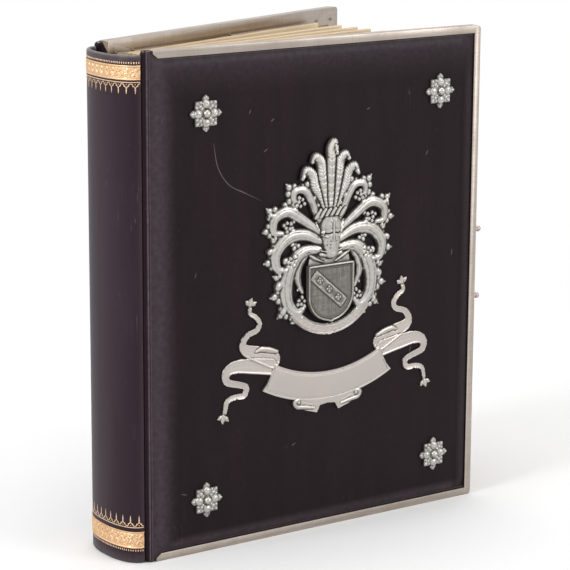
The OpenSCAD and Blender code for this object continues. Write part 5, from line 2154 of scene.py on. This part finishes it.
    def _plume(self, form: Relief, place: int, shape: Sequence[float]) -> None:
        """Draws one ostrich plume.

        Args:
            form: Relief to draw in.
            place: Place beside the middle plume, from -2 to 2.
            shape: U and Z of the plume's shoulder, then U and Z of its curled tip.
        """
        x, y, curl_x, curl_y = shape
        side = -1 if place < 0 else 1
        stem = curve([
            (place * 2.1, 81), (place * 4.2, 92), (side * x * 0.86, y - 8), (side * x, y),
            (side * (x + curl_x) / 2, y + 4), (side * curl_x * 0.94, curl_y - 4.5),
        ], 9)
        form.stroke(stem, self.quills, 2.5, 0.5, moat=1.0, over=abs(place) < 2)
        form.carve(stem[2:-2], 0.6, 0.5)
        ahead, left = directions(stem)
        halves = resampled(self.quills, len(stem)) / 2
        for n in range(4, len(stem) - 2, 2):
            half = halves[n]
            for way in (-1, 1):
                near = stem[n] + left[n] * way * half * 0.15
                far = stem[n] + left[n] * way * half * 1.12 + ahead[n] * half * 0.75
                form.carve([near, (near + far) / 2 + ahead[n] * 0.25, far], 0.55, 0.75)

    def _crest(self, finish: Material) -> Object:
        """Draws a twisted wreath and five ostrich plumes."""
        form = self._field(-26, 74, 26, 134, 0.3)
        outer, inner = (15.5, 108, 26, 111), (8.5, 117, 17, 122.5)
        for place, shape in ((-2, outer), (2, outer), (-1, inner), (1, inner), (0, (0.6, 126, 5.6, 126.8))):
            self._plume(form, place, shape)
        for k in range(6):
            x = -10.8 + 4.32 * k
            strand = curve([(x - 2.2, 77.2), (x - 0.3, 79.6), (x + 2.2, 82.6)], 5)
            form.stroke(strand, [3.0, 4.4, 3.0], 2.6, 0.5, moat=1.0, over=True)
            form.carve(curve([(x - 1.6, 78.4), (x + 0.2, 80.0), (x + 1.8, 81.8)], 4), 0.4, 0.35)
        return form.build("plumed_crest", self.plan.front, self.plan.pad + self.lift - 0.5, finish, deep=0.55)

    def _motto(self, finish: Material) -> Object:
        """Draws the bare ribbon below the shield with its folded ends."""
        form = self._field(-46, -12, 46, 26, 0.3)
        centre = (0.0, self.motto_r - 5)
        for side in (-1, 1):
            back = mirrored([(27.5, 9.0), (33.5, 16.5), (38.0, 20.0), (42.0, 17.5)], side)
            form.stroke(curve(back, 8), [6.0, 6.6, 5.6, 1.2], 1.4, 0.6, section=Section.RIBBON, tilt=0.8 * side)
            form.carve(curve(mirrored([(31.5, 13.0), (35.0, 17.0)], side), 5), 0.6, 0.4)
        arc = [polar(centre, a, self.motto_r) for a in np.linspace(218, 322, 45)]
        form.stroke(arc, self.motto_w, 2.6, 1.4, section=Section.RIBBON, capped=False, moat=0.8, over=True)
        for reach in (-2.4, 2.4):
            form.carve([polar(centre, a, self.motto_r + reach) for a in np.linspace(221, 319, 45)], 0.45, 0.3)
        wave = ((-2.6, -0.9), (-0.8, 1.0), (0.8, -1.0), (2.6, 0.9))
        for k in range(13):
            line = [polar(centre, 231 + 6.5 * k + turn, self.motto_r + reach) for turn, reach in wave]
            form.carve(curve(line, 4), 0.5, 0.32)
        return form.build("bare_motto_ribbon", self.plan.front, self.plan.pad - 0.05, finish, soften=0)

    def build(self, finishes: Finishes) -> list[Object]:
        """Makes the emblem's pieces."""
        made = {
            "mantling": self._mantling(finishes.cast),
            "shield": self._shield(finishes.shield),
            "helm": self._helm(finishes.cast),
            "crest": self._crest(finishes.cast),
            "motto_ribbon": self._motto(finishes.ribbon),
        }
        for node, piece in made.items():
            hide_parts(node)
            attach(piece, "front_cover")
        return list(made.values())


@dataclass
class Banner:
    """The long bare ribbon below the emblem, with folded ends, waving tails and a scrolled foot."""

    plan: Plan
    foot_z: float = 97.0
    radius: float = 121.0
    width: float = 21.0
    half: float = 57.0

    def _arc(self, first: float, last: float, inset: float) -> list[Point]:
        """Lists points along the plate, between two angles and at a distance from its lower edge."""
        return [polar((0.0, self.radius), a - 90, self.radius - inset) for a in np.linspace(first, last, 41)]

    def _band(self, form: Relief) -> None:
        """Draws the curved plate with its engraved double border."""
        reach = math.degrees(math.asin(self.half / self.radius))
        centre = (0.0, self.radius)
        notch = [polar(centre, -90 + reach * 0.975, self.radius - self.width * t) for t in (0.3, 0.55, 0.8)]
        low = self._arc(-reach, reach, 0)
        high = self._arc(reach * 0.985, -reach * 0.985, self.width)
        form.polygon(low + notch + high + mirrored(notch[::-1], -1), 2.0, crown=0.25)
        end = reach - 1.2
        for inset, depth in ((1.5, 0.45), (2.5, 0.22)):
            ring = self._arc(-end, end, inset) + self._arc(end, -end, self.width - inset)
            form.carve(ring + ring[:1], 0.55, depth)

    def _foot(self, form: Relief) -> None:
        """Draws the scrolled tab under the middle of the plate."""
        right = [(24, 6), (24, 0.5), (27, -1.2), (26, -3.6), (9.6, -8.8), (6.6, -3.6)]
        form.polygon([(-24, 6)] + right + [(0, -2.8)] + mirrored(right[:0:-1], -1), 1.9, crown=0.25)
        for side in (-1, 1):
            arm = mirrored([(12, -5.0), (20, -3.4), (27.0, -2.2), (29.0, 1.4), (25.8, 2.6), (25.0, 0.2)], side)
            form.stroke(curve(arm, 6), [2.0, 3.0, 3.4, 3.0, 2.2], 1.1, 1.4, moat=0.4)
            form.boss((side * 25.6, 0.8), 2.6, 1.3, base=1.4)
            form.carve(curve(mirrored([(3.4, -3.4), (8.0, -5.2), (10.0, -7.6)], side), 5), 0.6, 0.4)
            form.carve(curve(mirrored([(13, -1.4), (17, -0.4), (21, 1.4)], side), 5), 0.6, 0.35)

    def _tail(self, form: Relief, path: np.ndarray, widths: Sequence[float], side: int) -> None:
        """Draws one waving tail with a leaf-shaped tip."""
        form.stroke(path, widths, 1.05, 0.5, section=Section.RIBBON, moat=0.7, tilt=-0.5 * side)
        form.carve(path[6:-4], 0.35, 0.18)
        end = tuple(path[-1])
        run = path[-1] - path[-5]
        angle = math.degrees(math.atan2(run[1], run[0]))
        for turn in (-58, 58, 0):
            leaf = [end, polar(end, angle + turn, 3.0), polar(end, angle + turn, 5.2)]
            form.stroke(leaf, [2.4, 3.8, 0.8], 1.1, 0.5)

    def _tails(self, form: Relief) -> None:
        """Draws the ribbon's folds and its tails."""
        upper = [
            (48, 36), (60, 41.5), (70, 45.5), (73.5, 50), (69.5, 56.5), (61.5, 59.5), (59.2, 64), (62.5, 69),
            (67.5, 72.5), (67, 78),
        ]
        lower = [
            (50, 31), (66, 33.8), (80, 35), (87.3, 31.5), (86.5, 25), (77, 21.8), (70.8, 19), (72.5, 13.5),
            (80, 13.2), (86.5, 11), (88.5, 4.5), (89.5, 0.5),
        ]
        tails = (
            (upper, [13.5, 12, 8.6, 5.4, 4.4, 4.2, 3.8, 3.6, 3.0, 2.4]),
            (lower, [12, 11.5, 9.2, 6.6, 5.2, 4.8, 4.4, 4.2, 3.8, 3.6, 3.0, 2.2]),
        )
        for side in (-1, 1):
            for controls, widths in tails:
                self._tail(form, curve(mirrored(controls, side), 9), widths, side)
            fold = mirrored([(44.5, 41.5), (50.5, 43.5), (57.5, 45.0), (62.5, 43.5)], side)
            form.stroke(curve(fold, 6), [3.0, 4.6, 4.2, 1.5], 1.3, 0.9)
            for k in range(7):
                x = 48.0 + 1.5 * k
                crease = [(x, 33 + 0.35 * k), (x + 0.9, 36.5 + 0.4 * k), (x + 0.6, 40 + 0.4 * k)]
                form.carve(curve(mirrored(crease, side), 4), 0.45, 0.3)
                form.carve(mirrored([(x + 2, 27.2 + 0.3 * k), (x + 3.2, 30.4 + 0.3 * k)], side), 0.4, 0.25)

    def build(self, finishes: Finishes) -> list[Object]:
        """Makes the banner."""
        form = Relief(-98, -11, 98, 86, 0.35, (self.plan.emblem_u, self.foot_z))
        self._tails(form)
        self._foot(form)
        self._band(form)
        piece = form.build("bare_banner", self.plan.front, self.plan.pad - 0.05, finishes.ribbon, soften=0)
        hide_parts("banner")
        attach(piece, "front_cover")
        return [piece]


# Studio

def seen_rays(nodes: Nodes) -> NodeSocket:
    """Gives 1 for the rays that see the backdrop: from the camera, from gloss and through glass."""
    path = nodes.add("ShaderNodeLightPath")
    bounced = nodes.math("MAXIMUM", path.outputs["Is Glossy Ray"], path.outputs["Is Transmission Ray"])
    return nodes.math("MAXIMUM", path.outputs["Is Camera Ray"], bounced)


@dataclass(frozen=True)
class Studio:
    """Camera, floor, lamps and backdrop."""

    eye: tuple[float, float, float] = (-0.949821, -1.421103, 0.558406)
    yaw: float = 34.59935
    pitch: float = 12.88069
    roll: float = 0.30858
    lens: float = 148.66
    floor: float = 6.0

    def build(self) -> None:
        """Sets the whole studio up."""
        self._camera()
        self._floor()
        self._lamps()
        self._world()
        bpy.context.scene.view_settings.view_transform = "Standard"

    def _camera(self) -> None:
        """Places the camera at the photograph's angle."""
        yaw, pitch, roll = (math.radians(a) for a in (self.yaw, self.pitch, self.roll))
        ahead = Vector((math.sin(yaw) * math.cos(pitch), math.cos(yaw) * math.cos(pitch), -math.sin(pitch)))
        right = Vector((math.cos(yaw), -math.sin(yaw), 0))
        up = right.cross(ahead)
        turned_right = right * math.cos(roll) + up * math.sin(roll)
        turned_up = up * math.cos(roll) - right * math.sin(roll)
        data = bpy.data.cameras.new("camera")
        data.sensor_width = 36.0
        data.lens = self.lens
        data.clip_start = 0.05
        camera = link("camera", data)
        turn = Matrix((turned_right, turned_up, -ahead)).transposed().to_4x4()
        camera.matrix_world = Matrix.Translation(self.eye) @ turn
        bpy.context.scene.camera = camera

    def _floor(self) -> None:
        """Lays a plain pale floor that looks white to the camera and keeps the album's shadow."""
        material, nodes, shader = new_material("pale_floor")
        nodes.wire(shader, Base_Color=colour(0.88, 0.88, 0.88), Roughness=0.85, Specular_IOR_Level=0.2)
        where = nodes.add("ShaderNodeTexCoord").outputs["Object"]
        distance = nodes.add("ShaderNodeVectorMath", {"operation": "LENGTH"}, i0=where).outputs["Value"]
        white = nodes.times(nodes.ramp(distance, 0.3, 1.1), seen_rays(nodes))
        glow = nodes.add("ShaderNodeEmission", Color=colour(1, 1, 1), Strength=1.0)
        mixed = nodes.add("ShaderNodeMixShader", i0=white, i1=shader.outputs[0], i2=glow.outputs[0])
        nodes.tree.links.new(mixed.outputs[0], nodes.tree.nodes["Material Output"].inputs[0])
        mesh = bpy.data.meshes.new("floor")
        reach = self.floor
        corners = [(-reach, -reach, 0), (reach, -reach, 0), (reach, reach, 0), (-reach, reach, 0)]
        mesh.from_pydata(corners, [], [(0, 1, 2, 3)])
        mesh.materials.append(material)
        link("floor", mesh)

    def _lamp(self, name: str, place: Sequence[float], aim: Sequence[float], size: Point, power: float) -> None:
        """Hangs a rectangular lamp and points it."""
        data = bpy.data.lights.new(name, "AREA")
        data.shape = "RECTANGLE"
        data.size, data.size_y = size
        data.energy = power
        turn = (Vector(aim) - Vector(place)).to_track_quat("-Z", "Y").to_matrix().to_4x4()
        link(name, data).matrix_world = Matrix.Translation(place) @ turn

    def _lamps(self) -> None:
        """Hangs a large soft lamp on each side and one overhead."""
        middle = (0.0, 0.0, 0.18)
        self._lamp("key", (-2.0, -0.2, 1.3), middle, (0.9, 1.6), 26)
        self._lamp("fill", (1.3, -2.2, 1.1), middle, (1.4, 1.4), 20)
        self._lamp("top", (0.1, 0.2, 2.4), middle, (2.2, 2.2), 34)

    def _world(self) -> None:
        """Shows a white backdrop and lights everything softly."""
        world = bpy.data.worlds.new("studio")
        bpy.context.scene.world = world
        world.use_nodes = True
        nodes = Nodes(world.node_tree)
        world.node_tree.nodes.clear()
        strength = nodes.plus(nodes.times(seen_rays(nodes), 0.5), 0.5)
        back = nodes.add("ShaderNodeBackground", Color=colour(1, 1, 1), Strength=strength)
        world.node_tree.links.new(back.outputs[0], nodes.add("ShaderNodeOutputWorld").inputs[0])


def main() -> None:
    """Builds the album and its studio."""
    logging.basicConfig(level=logging.INFO, format="%(name)s: %(message)s")
    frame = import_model()
    Studio().build()
    plan = Plan.from_frame(frame)
    finishes = Finishes.build()
    beading = Beading.build()
    pieces: list[Object] = []
    for body, place in (("front_cover", plan.front), ("rear_cover", plan.rear)):
        pieces += CoverLeather(plan, place, body).build(finishes)
        pieces += CoverMetal(plan, place, body).build(finishes, beading)
    pieces += SpineDress(plan, SpineCurve(plan.front.origin, plan.half)).build(finishes, beading)
    pieces += LeafBlock(plan).build(finishes, beading)
    pieces += Rosettes(plan).build(finishes)
    pieces += Clasp(plan).build(finishes)
    pieces += Emblem(plan).build(finishes)
    pieces += Banner(plan).build(finishes)
    for piece in pieces:
        log.info("%s: %d faces", piece.name, len(piece.data.polygons))


if __name__ == "__main__":
    main()
